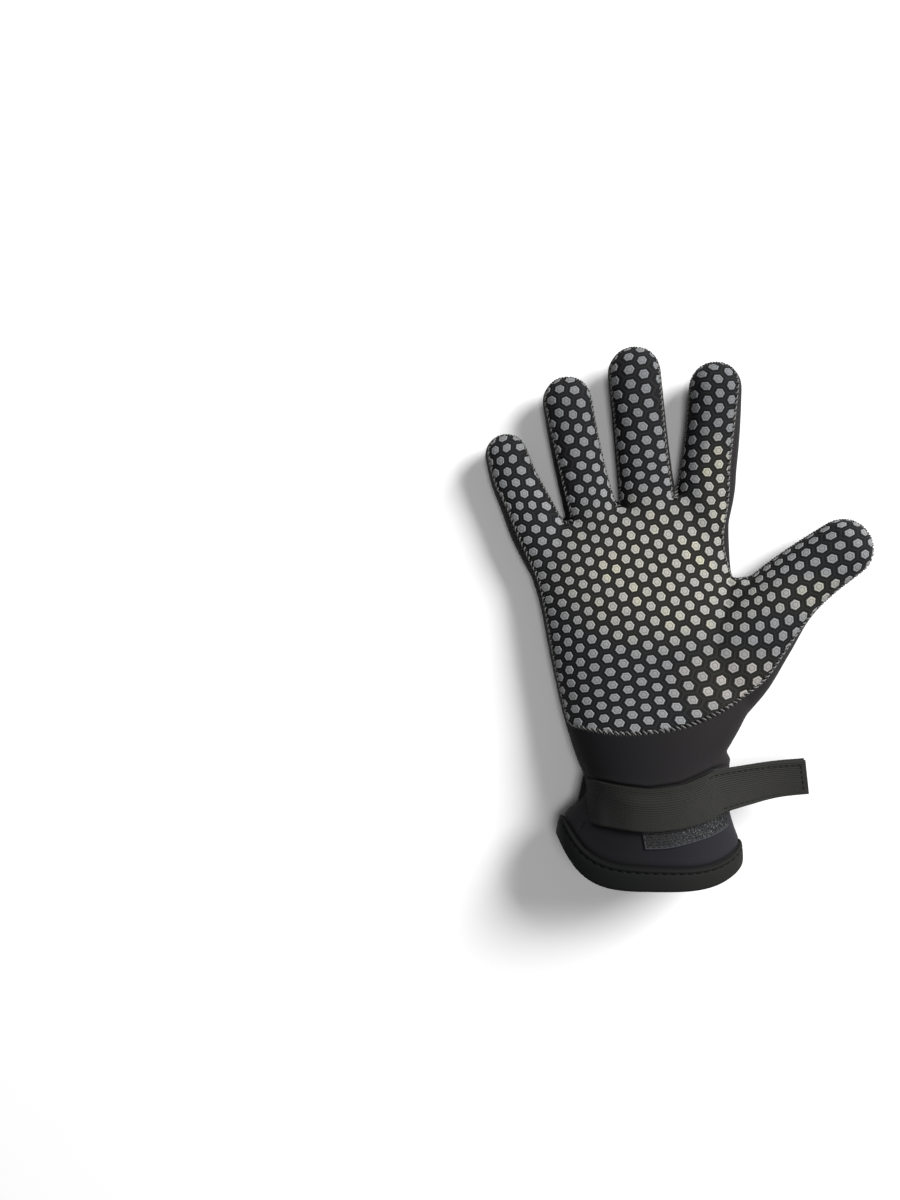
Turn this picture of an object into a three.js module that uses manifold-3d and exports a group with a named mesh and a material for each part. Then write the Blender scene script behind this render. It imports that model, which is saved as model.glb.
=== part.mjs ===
// A right-hand neoprene sport glove, lying palm up with its fingers towards +Y and its thumb towards +X.
// Millimetres, +Z up. The origin is on the floor, on the flat stretch of the back that the glove rests on.
//
// The hand and the five digits are lofted through the sections of the tables below, joined, and hollowed by
// the same sections taken in by the wall. The hollow skin is then cut along its seams into a palm panel and
// a back panel, which wraps round the thumb side and closes along a side seam at the little-finger side of
// the cuff. The binding, the strap and its two fastening tapes lie on that skin.

import * as THREE from "three";
import { mergeVertices } from "three/addons/utils/BufferGeometryUtils.js";
import Module from "manifold-3d";

const wasm = await Module();
wasm.setup();

const { clamp, degToRad, lerp, smoothstep } = THREE.MathUtils;

// Cloth thicknesses and clearances.
const WALL = 2.6; // foam neoprene with knit on both faces
const SEAM_GAP = 0.3; // between two pieces that are sewn together
const BINDING_THICK = 0.9;
const STRAP_THICK = 1.4;
const TAPE_THICK = 1.2; // each half of the hook and loop fastening

// What each layer over the wrist lies above the skin.
const PATCH_LIFT = 0.35;
const STRAP_LIFT = 0.8;
const STRAP_OVER_PATCH = PATCH_LIFT + TAPE_THICK + 0.5;
const STRAP_OVER_TAPE = STRAP_OVER_PATCH + TAPE_THICK + 0.4;

// A table's rows as objects with its column names.
function table(columns, rows) {
  const names = columns.split(" ");
  return rows.map((row) => Object.fromEntries(names.map((name, i) => [name, row[i]])));
}

// The hand, from the cuff's mouth to the finger webs. Each row is one upright section between a point on the
// little-finger side (px, py) and one on the thumb side (tx, ty). mid is the height of its widest place, rise
// and depth are what it stands above and below that, bow carries its middle along the hand and lean does so
// more on the thumb side. pseam and tseam are the angles above the widest place at which each side is sewn.
const HAND = table("px py tx ty mid rise depth bow lean pseam tseam", [
  [-43, -101, 43, -112, 22, 23.5, 20.6, -15, 5, 42, 60],
  [-40.7, -93, 42.3, -104, 22, 23, 20.6, -14, 4, 42, 60],
  [-32, -84, 38.5, -91, 21, 21, 20.2, -9, 1, 38, 60],
  [-30, -77, 36.5, -76, 20, 20, 20.4, -6, 0, 30, 60],
  [-34, -66, 38, -62, 19, 19, 21, -3, 0, 20, 60],
  [-37.5, -55, 45, -50, 17, 19.5, 19, -1, 0, 15, 50],
  [-41.5, -40, 52.5, -34, 15, 18.5, 17, 0, 0, 15, 40],
  [-47, -14, 50, -10, 14, 17, 16, 0, 0, 16, 35],
  [-51, 7, 43, 14, 13, 15, 15, 0, 0, 19, 15],
  [-55.5, 22, 41, 37, 12, 12, 14, 1, 0, 26, 36],
  [-60.5, 35, 41.5, 58, 11, 9, 12, 2, 0, 34, 52],
]);

// Each digit, from inside the palm to the centre of its round tip: the middle of its section in plan and
// height, half its width, half its thickness, and the angles at which the side towards the little finger and
// the side towards the thumb are sewn. The web is the skin that rounds out the corner beside the thumb.
const DIGIT_COLUMNS = "x y mid half thick pseam tseam";
const DIGITS = {
  little: table(DIGIT_COLUMNS, [
    [-43, 23, 11, 11.5, 8, 39, 26],
    [-52.2, 44, 10, 13.1, 9.5, 44, 26],
    [-59, 59, 10, 12, 9.2, 42, 25],
    [-64, 70, 10.5, 11.3, 9, 34, 26],
    [-67.5, 80.5, 12, 10.4, 8.5, 34, 28],
  ]),
  ring: table(DIGIT_COLUMNS, [
    [-21, 33, 11, 12, 8.5, 35, 31],
    [-25.5, 52, 10, 12.7, 10, 37, 30],
    [-29, 65, 10, 12.3, 9.7, 34, 27],
    [-33.5, 84, 11, 12.1, 9.5, 33, 29],
    [-38, 105.5, 13, 11.7, 9, 32, 34],
  ]),
  middle: table(DIGIT_COLUMNS, [
    [3, 38, 11, 12.5, 9, 14, 44],
    [1.5, 61, 10, 13.6, 10.3, 10, 44],
    [0, 74, 10, 13.3, 10, 15, 42],
    [-2.5, 95, 11.5, 12.9, 9.8, 18, 40],
    [-5.5, 120, 14, 12.8, 9.3, 19, 34],
  ]),
  index: table(DIGIT_COLUMNS, [
    [26, 37, 11, 12, 9, 4, 42],
    [30, 61, 10, 13.7, 10.3, 2, 54],
    [31.5, 74, 10, 13.5, 10, 2, 62],
    [33.3, 93, 11.5, 13, 9.8, 2, 60],
    [34, 113, 13.5, 12.6, 9.3, 5, 49],
  ]),
  thumb: table(DIGIT_COLUMNS, [
    [27, -38, 16, 21, 11, 2, 54],
    [39.5, -20, 16, 23, 14, 2, 51],
    [52.5, -3.5, 16.5, 20.2, 14, 2, 47],
    [64, 10.5, 17, 17.2, 13, 3, 36],
    [76.8, 22.3, 18, 15, 12, 4, 26],
    [92.6, 35.3, 20, 14.3, 11, 8, 30],
  ]),
  web: table(DIGIT_COLUMNS, [
    [34, 0, 14, 9, 9, 20, 5],
    [46, 13.4, 16, 7.5, 7.5, 20, 5],
  ]),
};
const WEB_DEPTH = 7; // how far the skin between two fingers reaches past the hand's last section
const WEB_SEAM = 14.5; // the height of the seam there
const PALM_SPACE_START = -62; // sections past this py shape the palm panel's sides
const SIDE_SEAM_END = -46; // sections short of this py have the side seam, which ends under the palm panel

// The palm panel's lower edge in plan, from the little-finger side to the thumb's root. From there on the
// thumb's own seam is its edge, and this line only has to stay outside it.
const PALM_EDGE = table("x y", [
  [-60, -46],
  [-36, -50],
  [-14, -52.3],
  [10, -50],
  [28, -44],
  [42, -37.5],
  [62, -30],
  [90, -20],
]);

// The strap over the wrist, from the side seam to its free end: its finger-side edge (fx, fy, fz) and
// its cuff-side edge (cx, cy, cz). Where free is 0 it lies on the wrist, whatever its heights here, and where
// free is 1 it hangs at them.
const STRAP = table("fx fy fz cx cy cz free", [
  [-31, -74, 0, -32.5, -92.5, 0, 0],
  [-29, -74.2, 0, -30.3, -93, 0, 0],
  [-25, -74.5, 0, -26, -94, 0, 0],
  [-17, -75.8, 0, -17.5, -95.2, 0, 0],
  [-3.5, -77, 0, -3, -96, 0, 0],
  [10.5, -75, 0, 12.5, -94, 0, 0],
  [20, -71.5, 0, 23.5, -91, 0, 0],
  [27, -68.8, 38, 31, -88, 41, 0],
  [40, -67.2, 34.5, 44, -85.2, 35, 1],
  [56, -65.6, 32.5, 59.5, -82.8, 28, 1],
  [71.5, -64.8, 30.5, 76, -82.2, 22, 1],
]);
const TAPE_START = 27; // x at which the loop tape under the strap begins

// The hook patch on the cuff, partly under the strap, with the strap's columns.
const PATCH = table("fx fy fz cx cy cz free", [
  [-8.5, -85, 0, -6, -104, 0, 0],
  [2, -84.5, 0, 4, -103.6, 0, 0],
  [12.5, -82.5, 0, 14.5, -101.7, 0, 0],
  [24, -79.5, 0, 27, -98.6, 0, 0],
  [31, -77.5, 0, 35, -95.5, 0, 0],
]);

// How finely the curves are cut.
const FULLNESS = 2.3; // of every section: 2 is an ellipse, more is squarer
const HAND_RING = 36; // points round the hand
const DIGIT_RING = 18; // points round a digit
const HOLLOW_RING = 14; // points round a digit's hollow
const HAND_STEPS = 2; // sections for each row of a table
const DIGIT_STEPS = 1;
const TIP_RINGS = 3; // rings that close a round end
const BAND_ACROSS = 6; // stretches across the strap and the patch

const TOP = 90; // above everything
const OUTSIDE = 130; // beyond everything in plan

// One column of a table at u between b and c, on a smooth curve through a, b, c and d.
function smooth(a, b, c, d, u) {
  const cubic = 2 * b - 2 * c + (c - a) / 2 + (d - b) / 2;
  const square = 3 * c - 3 * b - (c - a) - (d - b) / 2;
  return ((cubic * u + square) * u + (c - a) / 2) * u + b;
}

// A table's row at t, which counts rows from 0 and may lie between two.
function rowAt(rows, t) {
  const last = rows.length - 1;
  const i = Math.min(Math.floor(t), last - 1);
  const near = (k) => rows[clamp(i + k, 0, last)];
  const value = (key) => smooth(near(-1)[key], near(0)[key], near(1)[key], near(2)[key], t - i);
  return Object.fromEntries(Object.keys(rows[0]).map((key) => [key, value(key)]));
}

// All the rows of a table, and more between each pair of them.
function fineRows(rows, steps) {
  const count = (rows.length - 1) * steps;
  return Array.from({ length: count + 1 }, (_, i) => rowAt(rows, i / steps));
}

// A closed mesh over a run of rings with equal numbers of points. Its two ends are closed by a fan, unless
// the last ring lies on the first.
function loft(rings, closed = false) {
  const size = rings[0].length;
  const points = rings.flat();
  const faces = [];
  for (let i = 0; i + 1 < rings.length; i++) {
    for (let j = 0; j < size; j++) {
      const a = i * size + j;
      const b = i * size + ((j + 1) % size);
      faces.push(a, b, b + size, a, b + size, a + size);
    }
  }
  const ends = closed ? [] : [0, rings.length - 1];
  for (const end of ends) {
    const centre = rings[end].reduce((sum, p) => sum.add(p), new THREE.Vector3()).divideScalar(size);
    points.push(centre);
    for (let j = 0; j < size; j++) {
      const a = end * size + j;
      const b = end * size + ((j + 1) % size);
      faces.push(points.length - 1, ...(end === 0 ? [b, a] : [a, b]));
    }
  }
  return new THREE.BufferGeometry().setFromPoints(points).setIndex(faces);
}

// Six times the volume inside a closed mesh, which is negative when its faces point inwards.
function signedVolume(geometry) {
  const place = geometry.attributes.position;
  const index = geometry.index.array;
  const corner = (k) => new THREE.Vector3().fromBufferAttribute(place, index[k]);
  let sum = 0;
  for (let k = 0; k < index.length; k += 3) sum += corner(k).dot(corner(k + 1).cross(corner(k + 2)));
  return sum;
}

// A closed geometry as a solid that can be cut and joined, with its faces pointing out.
function solid(geometry) {
  const bare = new THREE.BufferGeometry();
  bare.setAttribute("position", geometry.getAttribute("position"));
  bare.setIndex(geometry.index);
  const merged = mergeVertices(bare, 1e-4);
  const faces = Array.from(merged.index.array);
  if (signedVolume(merged) < 0) faces.reverse();
  return new wasm.Manifold(
    new wasm.Mesh({
      numProp: 3,
      vertProperties: new Float32Array(merged.attributes.position.array),
      triVerts: new Uint32Array(faces),
    }),
  );
}

const join = (parts) => parts.reduce((whole, part) => whole.add(part));

// The part of space above a height.
function above(height) {
  const size = 4 * OUTSIDE;
  const box = new THREE.BoxGeometry(size, size, size);
  box.translate(0, 0, height + size / 2);
  return solid(box);
}

// Where an angle falls on a section of half width and half height 1, as parts across and up.
function sectionPoint(angle) {
  const part = (v) => Math.sign(v) * Math.abs(v) ** (2 / FULLNESS);
  return [part(Math.cos(angle)), part(Math.sin(angle))];
}

function ringOf(count, pointAt) {
  return Array.from({ length: count }, (_, j) => pointAt((j / count) * 2 * Math.PI));
}

// The frame of a hand section: its middle, the directions across it and along the hand, and half its width.
function handFrame(row) {
  const near = new THREE.Vector3(row.px, row.py, row.mid);
  const far = new THREE.Vector3(row.tx, row.ty, row.mid);
  const across = far.clone().sub(near);
  const half = across.length() / 2;
  across.normalize();
  const along = new THREE.Vector3(-across.y, across.x, 0);
  return { middle: near.add(far).divideScalar(2), across, along, half };
}

// How far a section is carried along the hand at c, which runs from -1 on the little-finger side to 1.
const bowAt = (row, c) => (row.bow + row.lean * c) * (1 - c ** 4);

// A point of the hand's skin at a section and an angle, grown outwards by an amount and moved along the hand.
function handPoint(row, angle, grow, slide = 0) {
  const { middle, across, along, half } = handFrame(row);
  const [c, s] = sectionPoint(angle);
  return middle
    .addScaledVector(across, (half + grow) * c)
    .addScaledVector(along, bowAt(row, c) + slide)
    .setZ(row.mid + ((s > 0 ? row.rise : row.depth) + grow) * s);
}

// The hand's form, grown by an amount. A form that is taken in is the hollow, and runs out of the cuff's
// mouth, while the skin's own has an end face there that is square to the wall.
function handForm(grow) {
  const rows = fineRows(HAND, HAND_STEPS);
  const [inset, slide] = grow < 0 ? [grow, -20] : [-2 * WALL, 0];
  const rings = rows.map((row) => ringOf(HAND_RING, (angle) => handPoint(row, angle, grow)));
  rings.unshift(ringOf(HAND_RING, (angle) => handPoint(rows[0], angle, inset, slide)));
  const last = rows[rows.length - 1];
  for (let k = 1; k <= TIP_RINGS; k++) {
    const turn = (k / (TIP_RINGS + 0.3)) * (Math.PI / 2);
    const flatter = (reach) => (reach + grow) * Math.cos(turn) - grow;
    const end = { ...last, rise: flatter(last.rise), depth: flatter(last.depth) };
    const reach = (WEB_DEPTH + grow) * Math.sin(turn);
    rings.push(ringOf(HAND_RING, (angle) => handPoint(end, angle, grow, reach)));
  }
  return loft(rings);
}

// The sections of a digit, each with its middle and the directions across it and along the digit.
function digitSections(rows) {
  const fine = fineRows(rows, DIGIT_STEPS);
  return fine.map((row, i) => {
    const before = fine[Math.max(i - 1, 0)];
    const after = fine[Math.min(i + 1, fine.length - 1)];
    const along = new THREE.Vector3(after.x - before.x, after.y - before.y, 0).normalize();
    const across = new THREE.Vector3(along.y, -along.x, 0);
    return { ...row, middle: new THREE.Vector3(row.x, row.y, row.mid), along, across };
  });
}

// A digit's form, closed by a round tip and grown by an amount.
function digitForm(rows, grow) {
  const count = grow < 0 ? HOLLOW_RING : DIGIT_RING;
  const ring = (section, reach, scale) =>
    ringOf(count, (angle) => {
      const [c, s] = sectionPoint(angle);
      return section.middle
        .clone()
        .addScaledVector(section.across, (section.half + grow) * scale * c)
        .addScaledVector(section.along, reach)
        .setZ(section.mid + (section.thick + grow) * scale * s);
    });
  const sections = digitSections(rows);
  const rings = sections.map((section) => ring(section, 0, 1));
  const tip = sections[sections.length - 1];
  for (let k = 1; k <= TIP_RINGS; k++) {
    const turn = (k / (TIP_RINGS + 0.4)) * (Math.PI / 2);
    rings.push(ring(tip, (tip.half + grow) * Math.sin(turn), Math.cos(turn)));
  }
  return loft(rings);
}

// The whole glove's form, grown by an amount and cut flat at the height that it rests on.
function gloveForm(grow, floor) {
  const digits = Object.values(DIGITS).map((rows) => solid(digitForm(rows, grow)));
  return join([solid(handForm(grow)), ...digits]).intersect(above(floor));
}

// One section of one half of the space that belongs to the palm panel, on the side of a form that out points
// to. Its lower edge rises at the seam's angle from the centre of the form's round side, so it crosses the
// wall squarely. gap lets the space out.
function seamSection({ middle, out, half, thick, seam, level }, gap) {
  const overlap = 1.5; // past the form's middle, where the other half begins
  const past = 1.2; // outside the skin
  const angle = degToRad(seam);
  const pivot = Math.max(half - thick, 0);
  const length = thick + past + gap;
  const base = level - gap / Math.cos(angle);
  const edge = pivot + length * Math.cos(angle);
  const point = (distance, height) => middle.clone().addScaledVector(out, distance).setZ(height);
  return [
    point(-overlap, base),
    point(pivot, base),
    point(edge, base + length * Math.sin(angle)),
    point(edge, TOP),
    point(-overlap, TOP),
  ];
}

// That space over one side of the hand, from the wrist to the finger webs, where its edge rises to the height
// of the seam between the fingers.
function handSide(side, gap) {
  const rows = fineRows(HAND, HAND_STEPS).filter((row) => row.py > PALM_SPACE_START);
  const webRows = 4;
  const section = (row, level, slide) => {
    const { middle, across, along, half } = handFrame(row);
    middle.addScaledVector(along, slide);
    const out = across.multiplyScalar(side);
    const seam = side < 0 ? row.pseam : row.tseam;
    return seamSection({ middle, out, half, thick: row.rise, seam, level }, gap);
  };
  const rings = rows.map((row, i) => {
    const level = i < rows.length - webRows ? row.mid : Math.max(row.mid, WEB_SEAM - 2);
    return section(row, level, 0);
  });
  const last = rows[rows.length - 1];
  const end = { ...last, rise: last.rise * 0.7, pseam: 5, tseam: 5 };
  rings.push(section(end, WEB_SEAM, 0.1), section(end, WEB_SEAM, WEB_DEPTH + 2 + gap));
  return solid(loft(rings));
}

// That space over one side of a digit, and round to the front of its tip.
function digitSide(rows, side, gap) {
  const sections = digitSections(rows).map((section) => ({
    ...section,
    out: section.across.clone().multiplyScalar(side),
    seam: side < 0 ? section.pseam : section.tseam,
    level: section.mid,
  }));
  sections[0].middle.addScaledVector(sections[0].along, -gap);
  const rings = sections.map((section) => seamSection(section, gap));
  const tip = sections[sections.length - 1];
  const front = (tip.pseam + tip.tseam) / 2;
  for (let k = 1; k <= TIP_RINGS; k++) {
    const turn = (k / TIP_RINGS) * (Math.PI / 2);
    const out = tip.out.clone().multiplyScalar(Math.cos(turn)).addScaledVector(tip.along, Math.sin(turn));
    rings.push(seamSection({ ...tip, out, seam: lerp(tip.seam, front, k / TIP_RINGS) }, gap));
  }
  return solid(loft(rings));
}

// The whole space that belongs to the palm panel, let out by a gap.
function palmSpace(gap) {
  const sides = [-1, 1];
  const hand = sides.map((side) => handSide(side, gap));
  const digits = Object.values(DIGITS).flatMap((rows) => sides.map((side) => digitSide(rows, side, gap)));
  const edge = new THREE.SplineCurve(PALM_EDGE.map(({ x, y }) => new THREE.Vector2(x, y))).getPoints(36);
  const first = PALM_EDGE[0];
  const last = PALM_EDGE[PALM_EDGE.length - 1];
  const outline = new THREE.Shape([new THREE.Vector2(-OUTSIDE, first.y), ...edge]);
  outline.lineTo(OUTSIDE, last.y);
  outline.lineTo(OUTSIDE, OUTSIDE + WALL * 2);
  outline.lineTo(-OUTSIDE, OUTSIDE + WALL * 2);
  const prism = new THREE.ExtrudeGeometry(outline, { depth: TOP, bevelEnabled: false });
  prism.translate(0, -gap, 0);
  return join([...hand, ...digits]).intersect(solid(prism));
}

// The slit of the side seam: a thin wedge out of the centre of the hand's round little-finger side, from
// beyond the mouth to under the palm panel's edge.
function sideSlit() {
  const rows = fineRows(HAND, HAND_STEPS).filter((row) => row.py < SIDE_SEAM_END);
  const ring = (row, slide) => {
    const { middle, across, along, half } = handFrame(row);
    const pivot = middle.addScaledVector(across, row.rise * 0.8 - half).addScaledVector(along, slide);
    const angle = degToRad(row.pseam);
    const out = across.clone().multiplyScalar(-Math.cos(angle)).setZ(Math.sin(angle));
    const aside = across.clone().multiplyScalar(-Math.sin(angle)).setZ(-Math.cos(angle));
    const corner = (length, side) =>
      pivot.clone().addScaledVector(out, length).addScaledVector(aside, (side * SEAM_GAP) / 2);
    const [start, end] = [WALL * 1.5, row.rise + WALL * 3];
    return [corner(start, -1), corner(start, 1), corner(end, 1), corner(end, -1)];
  };
  return solid(loft([ring(rows[0], -25), ...rows.map((row) => ring(row, 0))]));
}

// The height of the wrist's palm side over a place in plan, on the skin grown by an amount.
function wristHeight(x, y, grow) {
  const fit = (t) => {
    const row = rowAt(HAND, t);
    const { middle, across, along, half } = handFrame(row);
    const from = new THREE.Vector3(x, y, row.mid).sub(middle);
    const c = clamp(from.dot(across) / (half + grow), -1, 1);
    return { row, c, past: from.dot(along) - bowAt(row, c) };
  };
  let low = 0;
  let high = HAND.length - 1.001;
  for (let k = 0; k < 30; k++) {
    const t = (low + high) / 2;
    if (fit(t).past > 0) low = t;
    else high = t;
  }
  const { row, c } = fit(low);
  return row.mid + (row.rise + grow) * (1 - Math.abs(c) ** FULLNESS) ** (1 / FULLNESS);
}

// The lower face of a band on the wrist, as rows of points from its finger-side edge to its cuff-side edge.
// liftAt says how far it lies above the skin at an x and a share of its width.
function bandGrid(rows, liftAt) {
  return fineRows(rows, HAND_STEPS).map((row) =>
    Array.from({ length: BAND_ACROSS + 1 }, (_, k) => {
      const v = k / BAND_ACROSS;
      const x = lerp(row.fx, row.cx, v);
      const y = lerp(row.fy, row.cy, v);
      const lying = row.free < 1 ? wristHeight(x, y, liftAt(x, v)) : 0;
      return new THREE.Vector3(x, y, lerp(lying, lerp(row.fz, row.cz, v), row.free));
    }),
  );
}

// A slab between two distances above a grid of points, or above those of its rows that are kept.
function slab(grid, from, to, keep = () => true) {
  const lastRow = grid.length - 1;
  const lastPoint = grid[0].length - 1;
  const up = (i, k) => {
    const along = grid[Math.min(i + 1, lastRow)][k].clone().sub(grid[Math.max(i - 1, 0)][k]);
    const across = grid[i][Math.min(k + 1, lastPoint)].clone().sub(grid[i][Math.max(k - 1, 0)]);
    const normal = along.cross(across).normalize();
    return normal.z < 0 ? normal.negate() : normal;
  };
  const rings = grid.map((row, i) => {
    const lower = row.map((p, k) => p.clone().addScaledVector(up(i, k), from));
    const upper = row.map((p, k) => p.clone().addScaledVector(up(i, k), to));
    return [...lower, ...upper.reverse()];
  });
  return loft(rings.filter((_, i) => keep(grid[i])));
}

// The strap's lift: over the bare skin, then over the patch on its cuff side, then over its own loop tape.
function strapLift(x, v) {
  const beside = smoothstep(x, PATCH[0].fx - 10, PATCH[0].fx - 3);
  const over = smoothstep(v, 0.1, 0.4);
  const doubled = smoothstep(x, TAPE_START - 8, TAPE_START - 1);
  return lerp(lerp(STRAP_LIFT, STRAP_OVER_PATCH, beside * over), STRAP_OVER_TAPE, doubled);
}

// The binding all the way round the mouth: a U over the skin's edge, with legs outside and inside that reach
// up to the hand's second row.
function bindingForm() {
  const near = SEAM_GAP;
  const far = SEAM_GAP + BINDING_THICK;
  const corners = table("t grow slide", [
    [1, far, 0],
    [0.5, far, 0],
    [0, far, -far],
    [0, -WALL - far, -far],
    [0.5, -WALL - far, 0],
    [1, -WALL - far, 0],
    [1, -WALL - near, 0],
    [0.5, -WALL - near, 0],
    [0, -WALL - near, -near],
    [0, near, -near],
    [0.5, near, 0],
    [1, near, 0],
  ]);
  const rings = Array.from({ length: HAND_RING + 1 }, (_, j) => {
    const angle = (j / HAND_RING) * 2 * Math.PI;
    return corners.map(({ t, grow, slide }) => handPoint(rowAt(HAND, t), angle, grow, slide));
  });
  return loft(rings, true);
}

const skin = gloveForm(0, 0).subtract(gloveForm(-WALL, WALL));
const strapGrid = bandGrid(STRAP, strapLift);
const patchGrid = bandGrid(PATCH, () => PATCH_LIFT);
const overTape = (row) => row[0].x >= TAPE_START;

const pieces = {
  palm_panel: { made: skin.intersect(palmSpace(0)), color: 0x4c4c49, roughness: 0.85 },
  back_panel: {
    made: skin.subtract(palmSpace(SEAM_GAP)).subtract(sideSlit()),
    color: 0x292728,
    roughness: 0.8,
  },
  cuff_binding: { made: solid(bindingForm()), color: 0x1e1e20, roughness: 0.85 },
  wrist_strap: { made: solid(slab(strapGrid, 0, STRAP_THICK)), color: 0x393836, roughness: 0.8 },
  strap_loop_tape: {
    made: solid(slab(strapGrid, -SEAM_GAP - TAPE_THICK, -SEAM_GAP, overTape)),
    color: 0x242424,
    roughness: 0.95,
  },
  hook_patch: { made: solid(slab(patchGrid, 0, TAPE_THICK)), color: 0x262628, roughness: 0.7 },
};

const glove = new THREE.Group();
for (const [name, { made, color, roughness }] of Object.entries(pieces)) {
  const { vertProperties, triVerts } = made.getMesh();
  const merged = new THREE.BufferGeometry();
  merged.setAttribute("position", new THREE.BufferAttribute(vertProperties, 3));
  merged.setIndex(new THREE.BufferAttribute(triVerts, 1));
  const facets = merged.toNonIndexed();
  facets.computeVertexNormals();
  const mesh = new THREE.Mesh(facets, new THREE.MeshStandardMaterial({ color, roughness, metalness: 0 }));
  mesh.name = name;
  glove.add(mesh);
}
export default glove;
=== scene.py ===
import math
from itertools import product

import bmesh
import bpy
import numpy as np
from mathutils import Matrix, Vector
from mathutils.bvhtree import BVHTree


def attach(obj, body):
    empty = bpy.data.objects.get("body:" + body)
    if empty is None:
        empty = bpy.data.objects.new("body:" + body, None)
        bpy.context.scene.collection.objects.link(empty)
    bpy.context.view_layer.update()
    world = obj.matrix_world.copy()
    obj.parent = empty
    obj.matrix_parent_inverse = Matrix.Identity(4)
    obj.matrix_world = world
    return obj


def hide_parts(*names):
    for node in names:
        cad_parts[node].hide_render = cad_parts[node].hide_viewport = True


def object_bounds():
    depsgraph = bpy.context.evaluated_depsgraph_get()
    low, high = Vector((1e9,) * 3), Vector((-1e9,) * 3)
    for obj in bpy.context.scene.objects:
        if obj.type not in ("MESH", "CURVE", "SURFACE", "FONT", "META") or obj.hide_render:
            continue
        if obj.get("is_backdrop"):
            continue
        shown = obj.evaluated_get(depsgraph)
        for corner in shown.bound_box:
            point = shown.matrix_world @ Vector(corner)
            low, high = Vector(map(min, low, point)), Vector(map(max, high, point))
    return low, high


# A right-hand neoprene sport glove lying palm up, its fingers towards +Y and its thumb towards +X. Tables
# and sizes are in millimetres and degrees; a finished mesh is in metres, in the frame of the solids.

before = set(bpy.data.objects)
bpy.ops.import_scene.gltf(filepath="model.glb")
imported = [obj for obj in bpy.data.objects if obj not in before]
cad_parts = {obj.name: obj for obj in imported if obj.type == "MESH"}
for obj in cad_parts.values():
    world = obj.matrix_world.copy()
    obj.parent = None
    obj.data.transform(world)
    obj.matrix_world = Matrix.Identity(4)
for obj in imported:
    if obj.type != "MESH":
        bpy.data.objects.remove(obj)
cad_box = [[float(v) for v in corner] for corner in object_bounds()]
MM = 0.001

# The pattern


def table(columns, rows):
    """A table as a dict of its columns."""
    return dict(zip(columns.split(), np.array(rows, float).T))


# A row of HAND is a section across the hand, from px, py at the little-finger side to tx, ty at the thumb
# side. Its middle is at the height mid, and the cloth reaches rise above that and depth below it. bow and
# lean curve it in plan. pseam and tseam are the angles above level of the palm's seam on its two sides.
HAND = table("px py tx ty mid rise depth bow lean pseam tseam", [
    (-43, -101, 43, -112, 22, 23.5, 20.6, -15, 5, 42, 60),
    (-40.7, -93, 42.3, -104, 22, 23, 20.6, -14, 4, 42, 60),
    (-32, -84, 38.5, -91, 21, 21, 20.2, -9, 1, 38, 60),
    (-30, -77, 36.5, -76, 20, 20, 20.4, -6, 0, 30, 60),
    (-34, -66, 38, -62, 19, 19, 21, -3, 0, 20, 60),
    (-37.5, -55, 45, -50, 17, 19.5, 19, -1, 0, 15, 50),
    (-41.5, -40, 52.5, -34, 15, 18.5, 17, 0, 0, 15, 40),
    (-47, -14, 50, -10, 14, 17, 16, 0, 0, 16, 35),
    (-51, 7, 43, 14, 13, 15, 15, 0, 0, 19, 15),
    (-55.5, 22, 41, 37, 12, 12, 14, 1, 0, 26, 36),
    (-60.5, 35, 41.5, 58, 11, 9, 12, 2, 0, 34, 52),
])
# A row of a digit is a section across it: its middle, half its width and thickness, and those angles.
DIGIT = "x y mid half thick pseam tseam"
DIGITS = {
    "little": table(DIGIT, [
        (-43, 23, 11, 11.5, 8, 39, 26),
        (-52.2, 44, 10, 13.1, 9.5, 44, 26),
        (-59, 59, 10, 12, 9.2, 42, 25),
        (-64, 70, 10.5, 11.3, 9, 34, 26),
        (-67.5, 80.5, 12, 10.4, 8.5, 34, 28),
    ]),
    "ring": table(DIGIT, [
        (-21, 33, 11, 12, 8.5, 35, 31),
        (-25.5, 52, 10, 12.7, 10, 37, 30),
        (-29, 65, 10, 12.3, 9.7, 34, 27),
        (-33.5, 84, 11, 12.1, 9.5, 33, 29),
        (-38, 106.5, 13, 12, 9, 24, 28),
    ]),
    "middle": table(DIGIT, [
        (3, 38, 11, 12.5, 9, 14, 44),
        (1.5, 61, 10, 13.6, 10.3, 10, 44),
        (0, 74, 10, 13.3, 10, 15, 42),
        (-2.5, 95, 11.5, 12.9, 9.8, 18, 40),
        (-5.5, 120, 14, 12.8, 9.3, 19, 34),
    ]),
    "index": table(DIGIT, [
        (26, 37, 11, 12, 9, 4, 42),
        (30, 61, 10, 13.7, 10.3, 2, 54),
        (31.5, 74, 10, 13.5, 10, 2, 62),
        (33.3, 93, 11.5, 13, 9.8, 2, 60),
        (34, 113, 13.5, 12.6, 9.3, 5, 49),
    ]),
    "thumb": table(DIGIT, [
        (27, -38, 16, 21, 11, 2, 54),
        (39.5, -20, 16, 23, 14, 2, 51),
        (52.5, -3.5, 16.5, 20.2, 14, 2, 47),
        (64, 10.5, 17, 17.2, 13, 3, 36),
        (76.7, 22.3, 18, 15.3, 12, 4, 26),
        (93, 34.4, 20, 14.2, 11, 8, 24),
    ]),
    "web": table(DIGIT, [
        (34, 0, 14, 9, 9, 20, 5),
        (46, 13.4, 16, 7.5, 7.5, 20, 5),
    ]),
}
FULLNESS = 2.3  # how square the sections are: 2 makes an ellipse
WALL = 2.6  # the foam cloth's thickness
WEB_DEPTH = 7  # how far the hand's form rounds off past its last row, between the fingers
WEB_SEAM = 18.5  # the height of the palm's seam between two fingers
WEB_SEAM_ANGLE = 5
WEB_SEAM_FROM = (-1, 1.5)  # how far past the hand's last row that seam takes over
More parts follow.
